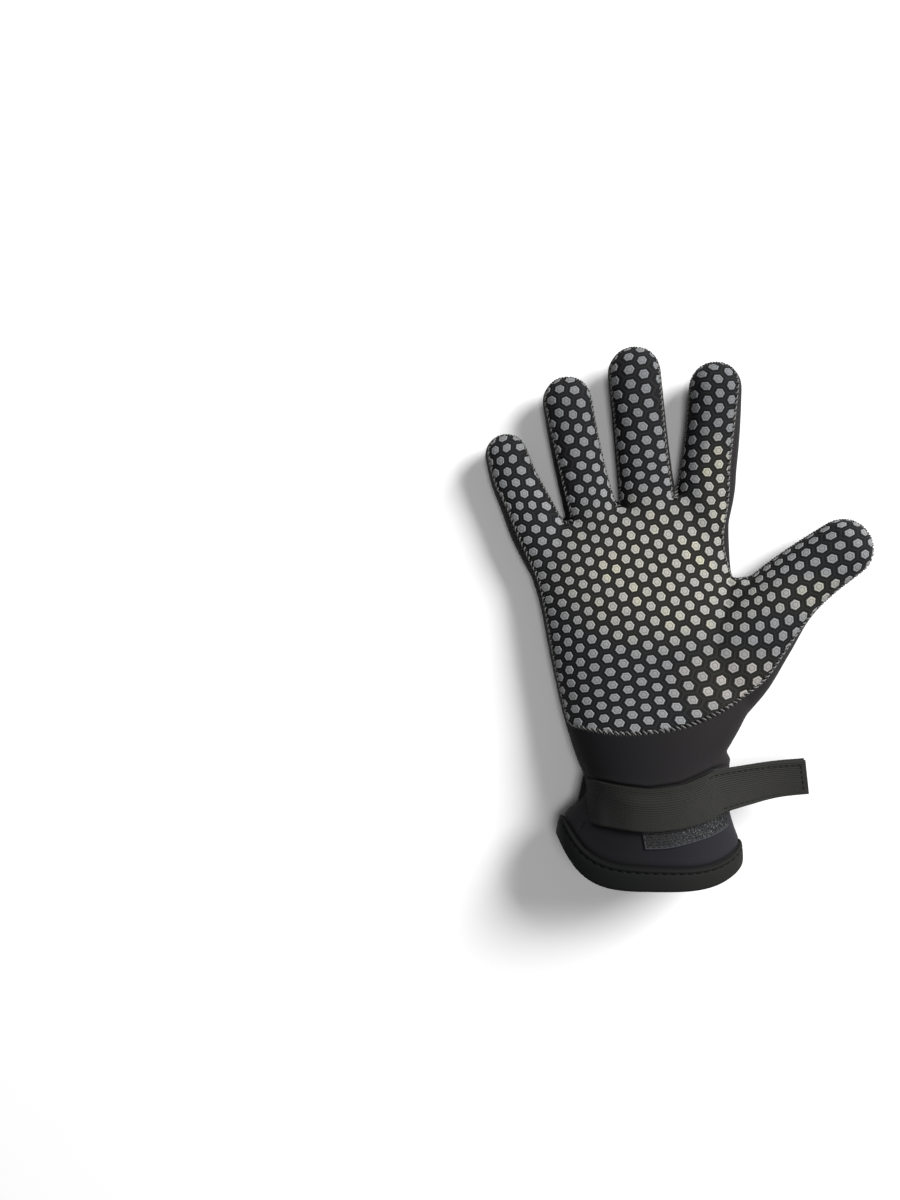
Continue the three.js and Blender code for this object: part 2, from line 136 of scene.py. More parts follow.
WEB_SEAM_SIDES = (6, 14)  # and how far in from the hand's sides
KNUCKLE_SEAM = 12.5  # the least height at which the seam leaves the hand for the fingers
KNUCKLE_ROWS = (8, 8.5)  # the rows of HAND between which it rises to that
SIDE_SPARE = 1.2  # how far past a section's side the cloth still counts as its own
MOUTH_SPARE = 16  # how far the form reaches past the cuff's mouth before it is cut off there
CORNER_BLUNT = 10  # how far the palm panel's corner at the thumb's root is rounded
CORNER_AT = (15, 40)  # the x between which that rounding sets in
TIP_SEAM = 0.3  # the seam's angle at the front of a tip, as a share of its two sides' angles together
WELL_INSIDE = 5.0  # how far a digit's cloth counts as inside its seam where its root isn't near
PALM_EDGE = table("x y", [  # the palm panel's edge over the wrist
    (-60, -46), (-36, -50), (-14, -52.3), (10, -50), (28, -44), (42, -37.5), (62, -30), (90, -20),
])
# fx, fy is the strap's or the patch's edge towards the fingers, and cx, cy its edge towards the cuff. fz
# and cz are the strap's heights there where it hangs free.
STRAP = table("fx fy fz cx cy cz", [
    (-31, -74, 0, -35.5, -92.5, 0),
    (-29, -74.2, 0, -32.8, -93.3, 0),
    (-25, -74.5, 0, -27.5, -94.3, 0),
    (-17, -75.8, 38, -17.5, -95.2, 41),
    (-3.5, -77, 40, -3, -96, 44),
    (10.5, -75, 41, 12.5, -94, 44),
    (20, -71.5, 40.3, 23.5, -91, 42.2),
    (27, -68.8, 38.2, 31, -88, 39.3),
    (40, -67.2, 35.2, 44, -85.2, 34.5),
    (56, -65.6, 32.6, 59.5, -82.8, 28),
    (71.5, -64.8, 30.5, 76, -82.2, 22),
])
STRAP_FREE = (5.5, 7.4)  # between these rows it comes away from the wrist and hangs at its own height
PATCH = table("fx fy cx cy", [
    (-8.5, -85, -6, -104),
    (2, -84.5, 4, -103.6),
    (12.5, -82.5, 14.5, -101.7),
    (24, -79.5, 27, -98.6),
    (31, -77.5, 35, -95.5),
])
TAPE_START = 27  # the x at which the tape under the strap starts
STRAP_THICK = 1.4
STRAP_SIZE = (118, 18.6)  # about its length and width, for its ribs and round edges
TAPE_THICK = 1.2
TAPE_LENGTH = 48
TAPE_GAP = 0.3
PATCH_SIZE = (41.0, 19.3)  # about its length and width
PATCH_BASE = 0.55
PATCH_LIFT = 0.35  # how far the patch lies off the skin
STRAP_LIFT = 0.8
STRAP_OVER_PATCH = PATCH_LIFT + TAPE_THICK + 0.5
STRAP_OVER_TAPE = STRAP_OVER_PATCH + TAPE_THICK + 0.4
PATCH_RISE = (14, 2)  # the strap rises over the patch from so far to so far before it
TAPE_RISE = 34  # and for its own tape from so far before that
STRAP_SUNK = 2.6  # how far its sewn end goes down into the side seam
SUNK_RUN = (-1, 7)  # how far past its end that begins and ends
FOLD_DEPTH = 1.9  # the fold at the wrist's thumb side
FOLD_START = (62.2, 66.2)  # how far towards the cuff from the origin it swells
FOLD_END = (69, 77)  # and where it ends
FOLD_SIDE = (25, 34)  # the x between which it sets in
FOLD_HEIGHT = (23, 11)  # the height of its middle and how far it spreads from there
NICK_DEPTH = 0.6  # the skin draws in just above the fold
NICK_AT = (-61.4, 1.6)  # the y of that and how far it spreads


def unit(vectors):
    """Vectors of length 1."""
    return vectors / np.linalg.norm(vectors, axis=-1, keepdims=True)


def turns(count):
    """Even angles once round."""
    return np.arange(count) / count * 2 * math.pi


def smoothstep(value, low, high):
    u = np.clip((np.asarray(value, float) - low) / (high - low), 0, 1)
    return u * u * (3 - 2 * u)


def last_of(rows):
    return len(next(iter(rows.values()))) - 1


def row_at(rows, t):
    """A table's values at t, which counts its rows from 0, on smooth curves through them."""
    t = np.asarray(t, float)
    last = last_of(rows)
    i = np.clip(np.floor(t).astype(int), 0, last - 1)
    u = t - i
    row = {}
    for name, column in rows.items():
        a, b, c, d = (column[np.clip(i + k, 0, last)] for k in (-1, 0, 1, 2))
        cubic = 2 * b - 2 * c + (c - a) / 2 + (d - b) / 2
        square = 3 * c - 3 * b - (c - a) - (d - b) / 2
        row[name] = ((cubic * u + square) * u + (c - a) / 2) * u + b
    return row


def section_point(angle):
    """Places round a section, from -1 to 1 across it and up."""
    c, s = np.cos(angle), np.sin(angle)
    return np.sign(c) * np.abs(c) ** (2 / FULLNESS), np.sign(s) * np.abs(s) ** (2 / FULLNESS)


def hand_frame(row):
    """A section's middle, its directions across and along the hand, and half its width."""
    near = np.stack([row["px"], row["py"]], -1)
    far = np.stack([row["tx"], row["ty"]], -1)
    across = far - near
    length = np.linalg.norm(across, axis=-1, keepdims=True)
    across = across / length
    along = np.stack([-across[..., 1], across[..., 0]], -1)
    return (near + far) / 2, across, along, length[..., 0] / 2


def bow_at(row, c):
    """How far along the hand a section's curve lies at c, from -1 to 1 across it."""
    return (row["bow"] + row["lean"] * c) * (1 - c**4)


def hand_point(row, angle, grow=0.0, slide=0.0):
    """Points round a section of the hand, grown outwards and slid along it."""
    middle, across, along, half = hand_frame(row)
    c, s = section_point(angle)
    plan = middle + across * ((half + grow) * c)[..., None] + along * (bow_at(row, c) + slide)[..., None]
    up = np.where(s > 0, row["rise"], row["depth"]) + grow
    return np.concatenate([plan, (row["mid"] + up * s)[..., None]], -1)


def loft(rings):
    """Points and faces over a run of rings, closed by a fan at each end."""
    count, size = rings.shape[:2]
    points = rings.reshape(-1, 3)
    i, j = np.meshgrid(np.arange(count - 1), np.arange(size), indexing="ij")
    a = (i * size + j).ravel()
    b = (i * size + (j + 1) % size).ravel()
    faces = [tuple(f) for f in np.stack([a, b, b + size, a + size], 1).tolist()]
    ends = [rings[0].mean(0), rings[-1].mean(0)]
    first, last = len(points), len(points) + 1
    k = np.arange(size)
    faces += [(first, y, x) for x, y in zip(k.tolist(), ((k + 1) % size).tolist())]
    base = (count - 1) * size
    faces += [(last, base + x, base + y) for x, y in zip(k.tolist(), ((k + 1) % size).tolist())]
    return np.concatenate([points, ends]), faces


def add_object(name, data):
    obj = bpy.data.objects.new(name, data)
    bpy.context.scene.collection.objects.link(obj)
    return obj


def mesh_object(name, points, faces):
    """A new object from millimetre points."""
    mesh = bpy.data.meshes.new(name)
    mesh.from_pydata((np.asarray(points) * MM).tolist(), [], [tuple(f) for f in faces])
    mesh.update()
    return add_object(name, mesh)


def choose(*objects):
    """Selects these objects alone, with the first one active."""
    bpy.ops.object.select_all(action="DESELECT")
    for obj in objects:
        obj.select_set(True)
    bpy.context.view_layer.objects.active = objects[0]


def vectors_of(items, key):
    flat = np.empty(len(items) * 3, np.float32)
    items.foreach_get(key, flat)
    return flat.reshape(-1, 3).astype(float)


def points_of(mesh):
    return vectors_of(mesh.vertices, "co") / MM


# The glove's form


def hand_rings(around=96, steps=6, tip=6):
    """The hand's sections, from before the cuff's mouth to a round end between the fingers."""
    angle = turns(around)
    t = np.linspace(0, last_of(HAND), last_of(HAND) * steps + 1)
    rings = [hand_point(row_at(HAND, np.full(around, v)), angle) for v in t]
    first = row_at(HAND, np.zeros(around))
    rings.insert(0, hand_point(first, angle, slide=-MOUTH_SPARE))
    end = row_at(HAND, np.full(around, float(last_of(HAND))))
    # the last ring stops short of the very end, for the loft's fan to close it
    for k in range(1, tip + 1):
        turn = k / (tip + 0.3) * math.pi / 2
        flat = {**end, "rise": end["rise"] * math.cos(turn), "depth": end["depth"] * math.cos(turn)}
        rings.append(hand_point(flat, angle, slide=WEB_DEPTH * math.sin(turn)))
    return np.array(rings)


def digit_frames(rows, steps):
    """Evenly spaced sections of a digit: their rows, middles and directions along it."""
    t = np.linspace(0, last_of(rows), last_of(rows) * steps + 1)
    row = row_at(rows, t)
    middle = np.stack([row["x"], row["y"]], -1)
    return row, middle, unit(np.gradient(middle, axis=0))


def digit_rings(rows, around=56, steps=8, tip=9):
    """A digit's sections, ending in a round tip."""
    row, middle, along = digit_frames(rows, steps)
    angle = turns(around)
    c, s = section_point(angle)

    def ring(i, reach, scale):
        across = np.array([along[i, 1], -along[i, 0]])
        plan = middle[i] + along[i] * reach + across * (row["half"][i] * scale * c)[:, None]
        return np.concatenate([plan, (row["mid"][i] + row["thick"][i] * scale * s)[:, None]], 1)

    rings = [ring(i, 0, 1) for i in range(len(middle))]
    end = len(middle) - 1
    for k in range(1, tip + 1):
        turn = k / (tip + 0.4) * math.pi / 2
        rings.append(ring(end, row["half"][end] * math.sin(turn), math.cos(turn)))
    return np.array(rings)


def glove_form(voxel=1.2):
    """The outside of the whole glove as one smooth closed mesh."""
    lofts = [loft(hand_rings())] + [loft(digit_rings(rows)) for rows in DIGITS.values()]
    parts = [mesh_object("form", points, faces) for points, faces in lofts]
    for part in parts:
        choose(part)
        bpy.ops.object.mode_set(mode="EDIT")
        bpy.ops.mesh.select_all(action="SELECT")
        bpy.ops.mesh.normals_make_consistent(inside=False)
        bpy.ops.object.mode_set(mode="OBJECT")
    choose(*parts)
    bpy.ops.object.join()
    form = bpy.context.view_layer.objects.active
    form.data.remesh_voxel_size = voxel * MM
    form.data.remesh_voxel_adaptivity = 0
    bpy.ops.object.voxel_remesh()
    smooth = form.modifiers.new("smooth", "SMOOTH")
    smooth.factor = 0.5
    smooth.iterations = 10
    bpy.ops.object.modifier_apply(modifier=smooth.name)
    rest_on_floor(form)
    pinch_waist(form)
    return form


def rest_on_floor(form, softness=0.5):
    """Flattens what would lie below the floor, with a soft edge to the flat."""
    for vertex in form.data.vertices:
        height = vertex.co.z / MM
        vertex.co.z = 0.5 * (height + math.hypot(height, softness)) * MM
    form.data.update()


def bump(value, middle, width):
    """1 at a value and falling to 0 on both sides of it."""
    return np.exp(-(((value - middle) / width) ** 2))


def pinch_waist(form):
    """Swells the thumb side into the fold that the strap's pull makes, and draws it in just above."""
    points = points_of(form.data)
    x, y, z = points.T
    fold = FOLD_DEPTH * smoothstep(-y, *FOLD_START) * (1 - smoothstep(-y, *FOLD_END))
    fold -= NICK_DEPTH * bump(y, *NICK_AT)
    points[:, 0] += fold * smoothstep(x, *FOLD_SIDE) * bump(z, *FOLD_HEIGHT)
    form.data.vertices.foreach_set("co", (points * MM).astype(np.float32).ravel())
    form.data.update()


def along_hand(plan, rounds=22):
    """How far along the hand each place in plan is, its section there, and its place on that."""
    low = np.zeros(len(plan))
    high = np.full(len(plan), last_of(HAND) - 1e-3)
    # halving finds the section that passes through each place
    for _ in range(rounds):
        t = (low + high) / 2
        row = row_at(HAND, t)
        middle, across, along, half = hand_frame(row)
        offset = plan - middle
        lateral = (offset * across).sum(1)
        past = (offset * along).sum(1) - bow_at(row, np.clip(lateral / half, -1, 1))
        low = np.where(past > 0, t, low)
        high = np.where(past > 0, high, t)
    return t, row, lateral, half, past


def wedge(lateral, height, half, thick, seam, level):
    """How far a point lies above the seam's plane on one side of a section."""
    angle = np.radians(seam)
    pivot = np.maximum(half - thick, 0)
    return (height - level) * np.cos(angle) - np.maximum(lateral - pivot, 0) * np.sin(angle)


def hand_side(plan, height):
    """How far each point of the hand is on the palm's side of its seam."""
    t, row, lateral, half, past = along_hand(plan)
    seam = np.where(lateral < 0, row["pseam"], row["tseam"])
    raised = np.maximum(row["mid"], KNUCKLE_SEAM)
    level = row["mid"] + (raised - row["mid"]) * smoothstep(t, *KNUCKLE_ROWS)
    beyond = smoothstep(past, *WEB_SEAM_FROM) * smoothstep(half - np.abs(lateral), *WEB_SEAM_SIDES)
    level = level + (WEB_SEAM - level) * beyond
    seam = seam + (WEB_SEAM_ANGLE - seam) * beyond
    side = wedge(np.abs(lateral), height, half, row["rise"], seam, level)
    return np.minimum.reduce([side, half + SIDE_SPARE - np.abs(lateral), WEB_DEPTH + 2 - past])


def digit_side(rows, plan, height):
    """The same for the points of one digit, whose seam goes round its tip."""
    row, middle, direction = digit_frames(rows, 12)
    gap = ((plan[:, None, :] - middle[None, :, :]) ** 2).sum(-1)
    i = gap.argmin(1)
    offset = plan - middle[i]
    ahead = (offset * direction[i]).sum(1)
    across = np.stack([direction[i][:, 1], -direction[i][:, 0]], -1)
    lateral = (offset * across).sum(1)
    end = len(middle) - 1
    front = (row["pseam"][end] + row["tseam"][end]) * TIP_SEAM
    seam = np.where(lateral < 0, row["pseam"][i], row["tseam"][i])
    tip = (i == end) & (ahead > 0)
    turn = np.arctan2(np.maximum(ahead, 0), np.abs(lateral)) / (math.pi / 2)
    seam = np.where(tip, seam + (front - seam) * turn, seam)
    reach = np.where(tip, np.hypot(ahead, lateral), np.abs(lateral))
    side = wedge(reach, height, row["half"][i], row["thick"][i], seam, row["mid"][i])
    start = np.where(i == 0, ahead, WELL_INSIDE)
    return np.minimum.reduce([side, row["half"][i] + SIDE_SPARE - reach, start])


def past_palm_edge(plan):
    """How far each place in plan is past the palm panel's edge over the wrist."""
    edge = row_at(PALM_EDGE, np.linspace(0, last_of(PALM_EDGE), 120))
    above = plan[:, 1] - np.interp(plan[:, 0], edge["x"], edge["y"])
    slope = np.interp(plan[:, 0], edge["x"], np.gradient(edge["y"], edge["x"]))
    return above / np.hypot(1, slope)


def palm_side(points):
    """How far each point of the skin is on the palm panel's side of its seam."""
    plan, height = points[:, :2], points[:, 2]
    best = hand_side(plan, height)
    for rows in DIGITS.values():
        best = np.maximum(best, digit_side(rows, plan, height))
    above = past_palm_edge(plan)
    # the lesser of the two, with the corner where they meet rounded off
    blunt = CORNER_BLUNT * smoothstep(plan[:, 0], *CORNER_AT) + 0.01
    inner = np.clip(blunt - np.abs(best - above), 0, None) / blunt
    return np.minimum(best, above) - inner * inner * blunt / 4


# The printed cloth

# Where some dots of the palm's cloth lie, rolled out flat from its crown, and how they are counted: i
# counts the rows of dots from the palm's middle towards the wrist, and j the dots of a row to the thumb.
PRINT = table("x y i j", [
    (-9, -49.5, 10, -2), (12, -46, 8, 1), (28, -39.5, 6, 3), (-12.5, -26, 6, -2), (55, -21.5, 3, 7),
    (-33.5, -19.5, 6, -5), (-44, -14, 6, -7), (23, 12, -2, 5), (53, 16.5, -3, 10), (87, 17.5, -2, 14),
    (46, 19, -4, 9), (100.5, 31.5, -4, 17), (76.5, 39, -6, 15), (-46.5, 43.5, -4, -5),
    (-50.5, 49.5, -5, -5), (-67.5, 55, -6, -7), (-48.5, 55.5, -6, -4), (-37.5, 58.5, -7, -3),
    (-21, 61.5, -8, 0), (35.5, 61.5, -11, 9), (17, 65, -10, 6), (0.5, 80, -12, 4), (-35, 80.5, -11, -1),
    (-73.5, 82, -11, -5), (-61, 84, -11, -3), (-13.5, 84.5, -12, 2), (-27, 91.5, -13, 1),
    (-47, 94.5, -13, -2), (27.5, 98, -16, 8), (-12.5, 102, -15, 3),
    (22.5, 102.5, -16, 7), (0, 104, -16, 5), (-35.5, 110.5, -16, 1), (39.5, 112.5, -19, 10),
    (-3.5, 124.5, -19, 5), (-9.5, 126.5, -19, 4),
])
ROW_STEP = math.sqrt(3) / 2  # from row to row of the print, in steps from dot to dot
ROUND_SIDE = 10  # the radius over which the cloth goes round the sides of the digits
PLATE_SCALE = 50  # the length that the bending is worked out in


def dot_place(i, j):
    """The place of a dot on the print, in steps from dot to dot on its three-way grid."""
    return np.stack([j + i / 2, -i * ROW_STEP], -1)


def print_at(points, normals):
    """The place on the print of each point of the skin: a thin plate bent through the rows of PRINT."""
    # the cloth is rolled out flat from its crown by how far it has turned over
    turned = np.arccos(np.clip(normals[:, 2], -1, 1))
    outward = normals[:, :2] / np.maximum(np.hypot(normals[:, 0], normals[:, 1]), 1e-6)[:, None]
    rolled = points[:, :2] + outward * (ROUND_SIDE * (turned - np.sin(turned)))[:, None]
    pins = np.stack([PRINT["x"], PRINT["y"]], 1) / PLATE_SCALE

    def bending(a, b):
        r2 = ((a[:, None] - b[None]) ** 2).sum(-1)
        return np.where(r2 > 0, r2 * np.log(np.maximum(r2, 1e-12)), 0)

    def flat(a):
        return np.concatenate([np.ones((len(a), 1)), a], 1)

    # one weight for each pin and three for a flat slope, so that every pin gets its own place
    n = len(pins)
    system = np.zeros((n + 3, n + 3))
    system[:n, :n] = bending(pins, pins)
    system[:n, n:] = flat(pins)
    system[n:, :n] = flat(pins).T
    values = np.zeros((n + 3, 2))
    values[:n] = dot_place(PRINT["i"], PRINT["j"])
    weights = np.linalg.solve(system, values)
    places = rolled / PLATE_SCALE
    return bending(places, pins) @ weights[:n] + flat(places) @ weights[n:]


# Cutting the panels

FAR = 50.0  # stands for a distance where it isn't measured
SIDE_SEAM_END = -40  # the cuff's side seam runs below this y
SIDE_SEAM_IN = 0.8  # how far in it turns, as a share of the palm side's rise
PRESS_DEPTH = 0.8  # how deep an edge presses the foam
SWELL_HEIGHT = 0.3  # and how far it swells beside that
STRAP_REACH = (-33, 43)  # the strap presses the foam between these x
STRAP_LOWEST = 24  # and above this height


def mouth_side(points):
    """How far each point is inside the cuff's mouth."""
    first = row_at(HAND, 0.0)
    middle, across, along, half = hand_frame(first)
    offset = points[:, :2] - middle
    c = np.clip(offset @ across / half, -1, 1)
    return offset @ along - bow_at(first, c)


def slit_side(points):
    """How far each point is from the side seam of the cuff, on its palm side."""
    _, row, lateral, half, _ = along_hand(points[:, :2])
    angle = np.radians(row["pseam"])
    outward = -(lateral + half - row["rise"] * SIDE_SEAM_IN)
    up = points[:, 2] - row["mid"]
    distance = up * np.cos(angle) - outward * np.sin(angle)
    ahead = outward * np.cos(angle) + up * np.sin(angle)
    return np.where((ahead > 0) & (points[:, 1] < SIDE_SEAM_END), distance, FAR)


def binding_side(points):
    """How far each point is past the upper edge of the cuff's binding."""
    t = along_hand(points[:, :2])[0]
    return (t - BINDING["t"][0]) * abs(HAND["py"][0] - HAND["py"][1])


def strap_side(points):
    """How far each point of the wrist's palm side is past the strap's finger edge."""
    x, y, z = points.T
    beside = (z > STRAP_LOWEST) & (x > STRAP_REACH[0]) & (x < STRAP_REACH[1])
    return np.where(beside, y - np.interp(x, STRAP["fx"], STRAP["fy"]), FAR)


def pressed(distance):
    """How deep the foam dips along an edge that holds it down; it swells a little farther off."""
    return PRESS_DEPTH * bump(distance, 0.35, 0.45) - SWELL_HEIGHT * bump(distance, 1.7, 0.9)


def neighbours_mean(values, edges, rounds):
    """Evens a value out over the mesh."""
    for _ in range(rounds):
        total = values.copy()
        count = np.ones(len(values))
        for here, there in (edges.T, edges.T[::-1]):
            np.add.at(total, here, values[there])
            np.add.at(count, here, 1)
        values = total / count
    return values


def cut_level(mesh, parts, level, near, drop_below):
    """Cuts parts of a mesh at a height. A point nearer to it than near counts as lying on the cut."""
    bmesh.ops.bisect_plane(
        mesh, geom=parts, dist=near, plane_co=(0, 0, level), plane_no=(0, 0, 1), clear_inner=drop_below
    )


class Skin:
    """The glove's outside: points with what is known of each, and faces, cut along levels of a value."""

    def __init__(self, form):
        mesh = form.data
        points, normals = points_of(mesh), vectors_of(mesh.vertex_normals, "vector")
        edges = np.array([e.vertices[:] for e in mesh.edges])
        seam = neighbours_mean(palm_side(points), edges, 5)
        place = print_at(points, normals)
        self.names = "x y z nx ny nz seam slit mouth strap binding a b".split()
        lines = [f(points) for f in (slit_side, mouth_side, strap_side, binding_side)]
        values = np.column_stack([points, normals, seam, *lines, place])
        self.mesh = bmesh.new()
        self.mesh.from_mesh(mesh)
        layers = self.mesh.verts.layers.float
        for name in self.names:
            layers.new(name)
        self.layers = [layers[name] for name in self.names]
        for vertex, row in zip(self.mesh.verts, values.tolist()):
            for layer, value in zip(self.layers, row):
                vertex[layer] = value

    def cut(self, name, level, drop_below=False):
        """Cuts the skin along a level of a value, as a plane cuts it where that value is its height."""
        layer = self.mesh.verts.layers.float[name]
        for vertex in self.mesh.verts:
            vertex.co.z = vertex[layer]
        faces = [f for f in self.mesh.faces if all(v[layer] < FAR for v in f.verts)]
        around = [part for f in faces for part in (*f.edges, *f.verts)]
        cut_level(self.mesh, list(dict.fromkeys(faces + around)), level, near=0.06, drop_below=drop_below)

    def arrays(self):
        self.mesh.verts.index_update()
        self.mesh.faces.ensure_lookup_table()
        rows = np.array([[v[layer] for layer in self.layers] for v in self.mesh.verts])
        faces = [tuple(v.index for v in f.verts) for f in self.mesh.faces]
        return rows, faces


# The skin is cut at these distances from its seams and creases, so that its mesh follows their form.
SEAM_CUTS = (-1.3, -0.8, -0.4, -0.15, 0, 0.15, 0.4, 0.8, 1.3)
SLIT_CUTS = (-1, -0.4, 0, 0.4, 1)
CREASE_CUTS = (-0.2, 0.1, 0.35, 0.6, 0.95, 1.5, 2.2)
GROOVE_DEPTH = 0.85
SLIT_SHARE = 0.45  # the side seam's depth as a share of the palm seam's
BINDING_PRESS = 0.6  # how much the binding presses the foam, where the strap's edge presses it by 1
HELD_UNTIL = (30, 42)  # the strap presses less from the first x on and not at all past the second
SHOULDER = 1.3  # how far from a seam the cloth starts to round down into it
EDGE_GAP = 0.06  # how far a panel's cut edge draws back from its seam
SMOOTH_ANGLE = math.radians(50)  # past it an edge stays sharp
ROUND_ANGLE = math.radians(60)  # the same for threads and the binding


def groove(distance):
    """How deep the cloth dips at a distance from a seam, with a round shoulder."""
    near = 1 - np.clip(np.abs(distance) / SHOULDER, 0, 1)
    return GROOVE_DEPTH * (1 - np.sqrt(1 - near * near))


def edge_line(distance):
    """1 beside an edge that presses the foam, where no light reaches, and 0 a little farther off."""
    return bump(distance, 0.3, 0.4)


def column(rows, skin, *names):
    """Columns of the skin's rows by their names."""
    picked = rows[:, [skin.names.index(name) for name in names]]
    return picked[:, 0] if len(names) == 1 else picked


def shell(name, points, normals, dip, faces, **known):
    """A panel of foam cloth: its outside, its inside a wall's thickness below, and its cut edges."""
    used = sorted({i for f in faces for i in f})
    where = {old: new for new, old in enumerate(used)}
    faces = [tuple(where[i] for i in f) for f in faces]
    points, normals, dip = points[used], normals[used], dip[used]
    count = len(used)
    # a side that no second face shares is on the rim
    sides = {}
    for f in faces:
        for a, b in zip(f, f[1:] + f[:1]):
            sides[a, b] = f
    rim = [(a, b) for a, b in sides if (b, a) not in sides]
    # the rim draws back a little from the seam, towards the middles of its faces
    inward = np.zeros((count, 3))
    for a, b in rim:
        middle = points[list(sides[a, b])].mean(0)
        inward[a] += middle - points[a]
        inward[b] += middle - points[b]
    length = np.linalg.norm(inward, axis=1, keepdims=True)
    points = points + inward / np.maximum(length, 1e-9) * EDGE_GAP * (length > 0)
    outside = points - normals * dip[:, None]
    inside = points - normals * WALL
    everything = faces + [tuple(i + count for i in reversed(f)) for f in faces]
    everything += [(b, a, a + count, b + count) for a, b in rim]
    obj = mesh_object(name, np.concatenate([outside, inside]), everything)
    for key, values in known.items():
        attribute = obj.data.attributes.new(key, "FLOAT", "POINT")
        attribute.data.foreach_set("value", np.tile(values[used], 2).astype(np.float32))
    choose(obj)
    bpy.ops.object.shade_smooth_by_angle(angle=SMOOTH_ANGLE)
    return obj


def lay_map(obj, name, places):
    """Gives a mesh a UV map from the place on it of each point of its outside and then of its inside."""
    layer = obj.data.uv_layers.new(name=name)
    index = np.empty(len(obj.data.loops), np.int32)
    obj.data.loops.foreach_get("vertex_index", index)
    layer.data.foreach_set("uv", np.tile(places, (2, 1))[index].astype(np.float32).ravel())


def seam_line(skin):
    """The palm panel's seam as one closed run of points and normals, evenly spaced."""
    seam = skin.mesh.verts.layers.float["seam"]
    # the sides of the palm's faces that a face of the back shares, from each point to the next
    after = {}
    for face in skin.mesh.faces:
        if sum(v[seam] for v in face.verts) <= 0:
            continue
        for loop in face.loops:
            edge = loop.edge
            if len(edge.link_faces) != 2:
                continue
            other = next(f for f in edge.link_faces if f is not face)
            if sum(v[seam] for v in other.verts) <= 0:
                after.setdefault(loop.vert, []).append(loop.link_loop_next.vert)
    # they join into closed runs, and the longest is the seam
    runs = []
    while after:
        start = next(iter(after))
        run = [start]
        while run[-1] in after:
            following = after[run[-1]].pop()
            if not after[run[-1]]:
                del after[run[-1]]
            run.append(following)
            if following is start:
                break
        runs.append(run)
    run = max(runs, key=len)
    rows = np.array([[v[layer] for layer in skin.layers[:6]] for v in run[:-1]])
    return even_run(rows)


def run_length(points):
    """How far along a run each of its points is."""
    return np.concatenate([[0], np.cumsum(np.linalg.norm(np.diff(points, axis=0), axis=1))])


def even_run(rows, spacing=0.25, rounds=6):
    """Points round a closed run at even steps, after evening the run out."""
    for _ in range(rounds):
        rows = (np.roll(rows, 1, 0) + 2 * rows + np.roll(rows, -1, 0)) / 4
    line = np.concatenate([rows, rows[:1]])
    gone = run_length(line[:, :3])
    count = int(gone[-1] / spacing)
    at = np.linspace(0, gone[-1], count + 1)[:count]
    return np.stack([np.interp(at, gone, line[:, k]) for k in range(line.shape[1])], 1)


# Grip dots

# A dot's rings from its foot to its top's middle: how wide each is, its height and how dark its rubber.
DOT_RINGS = table("share height shade", [
    (1.0, -0.15, 0.8),
    (1.0, 0.12, 0.6),
    (0.9, 0.3, 0.0),
    (0.7, 0.34, 0.0),
    (0.6, 0.24, 1.0),
    (0.48, 0.24, 1.0),
    (0.38, 0.33, 0.2),
    (0.05, 0.34, 0.5),
])
DOT_RADIUS = 2.38  # from its centre to a corner
DOT_SPREAD = (0.85, 1.12)  # how far the cloth's stretch may squeeze and spread a dot
PRINT_PITCH = 6.9  # from dot to dot on the cloth as it is printed
PRINT_TOP = 9  # a height above every place of the print
STEP_LIMIT = 12  # the most that a step of the print may span on the glove
DOT_LEAST = 0.5  # a dot reaches at least so far inside the seam, or is left out


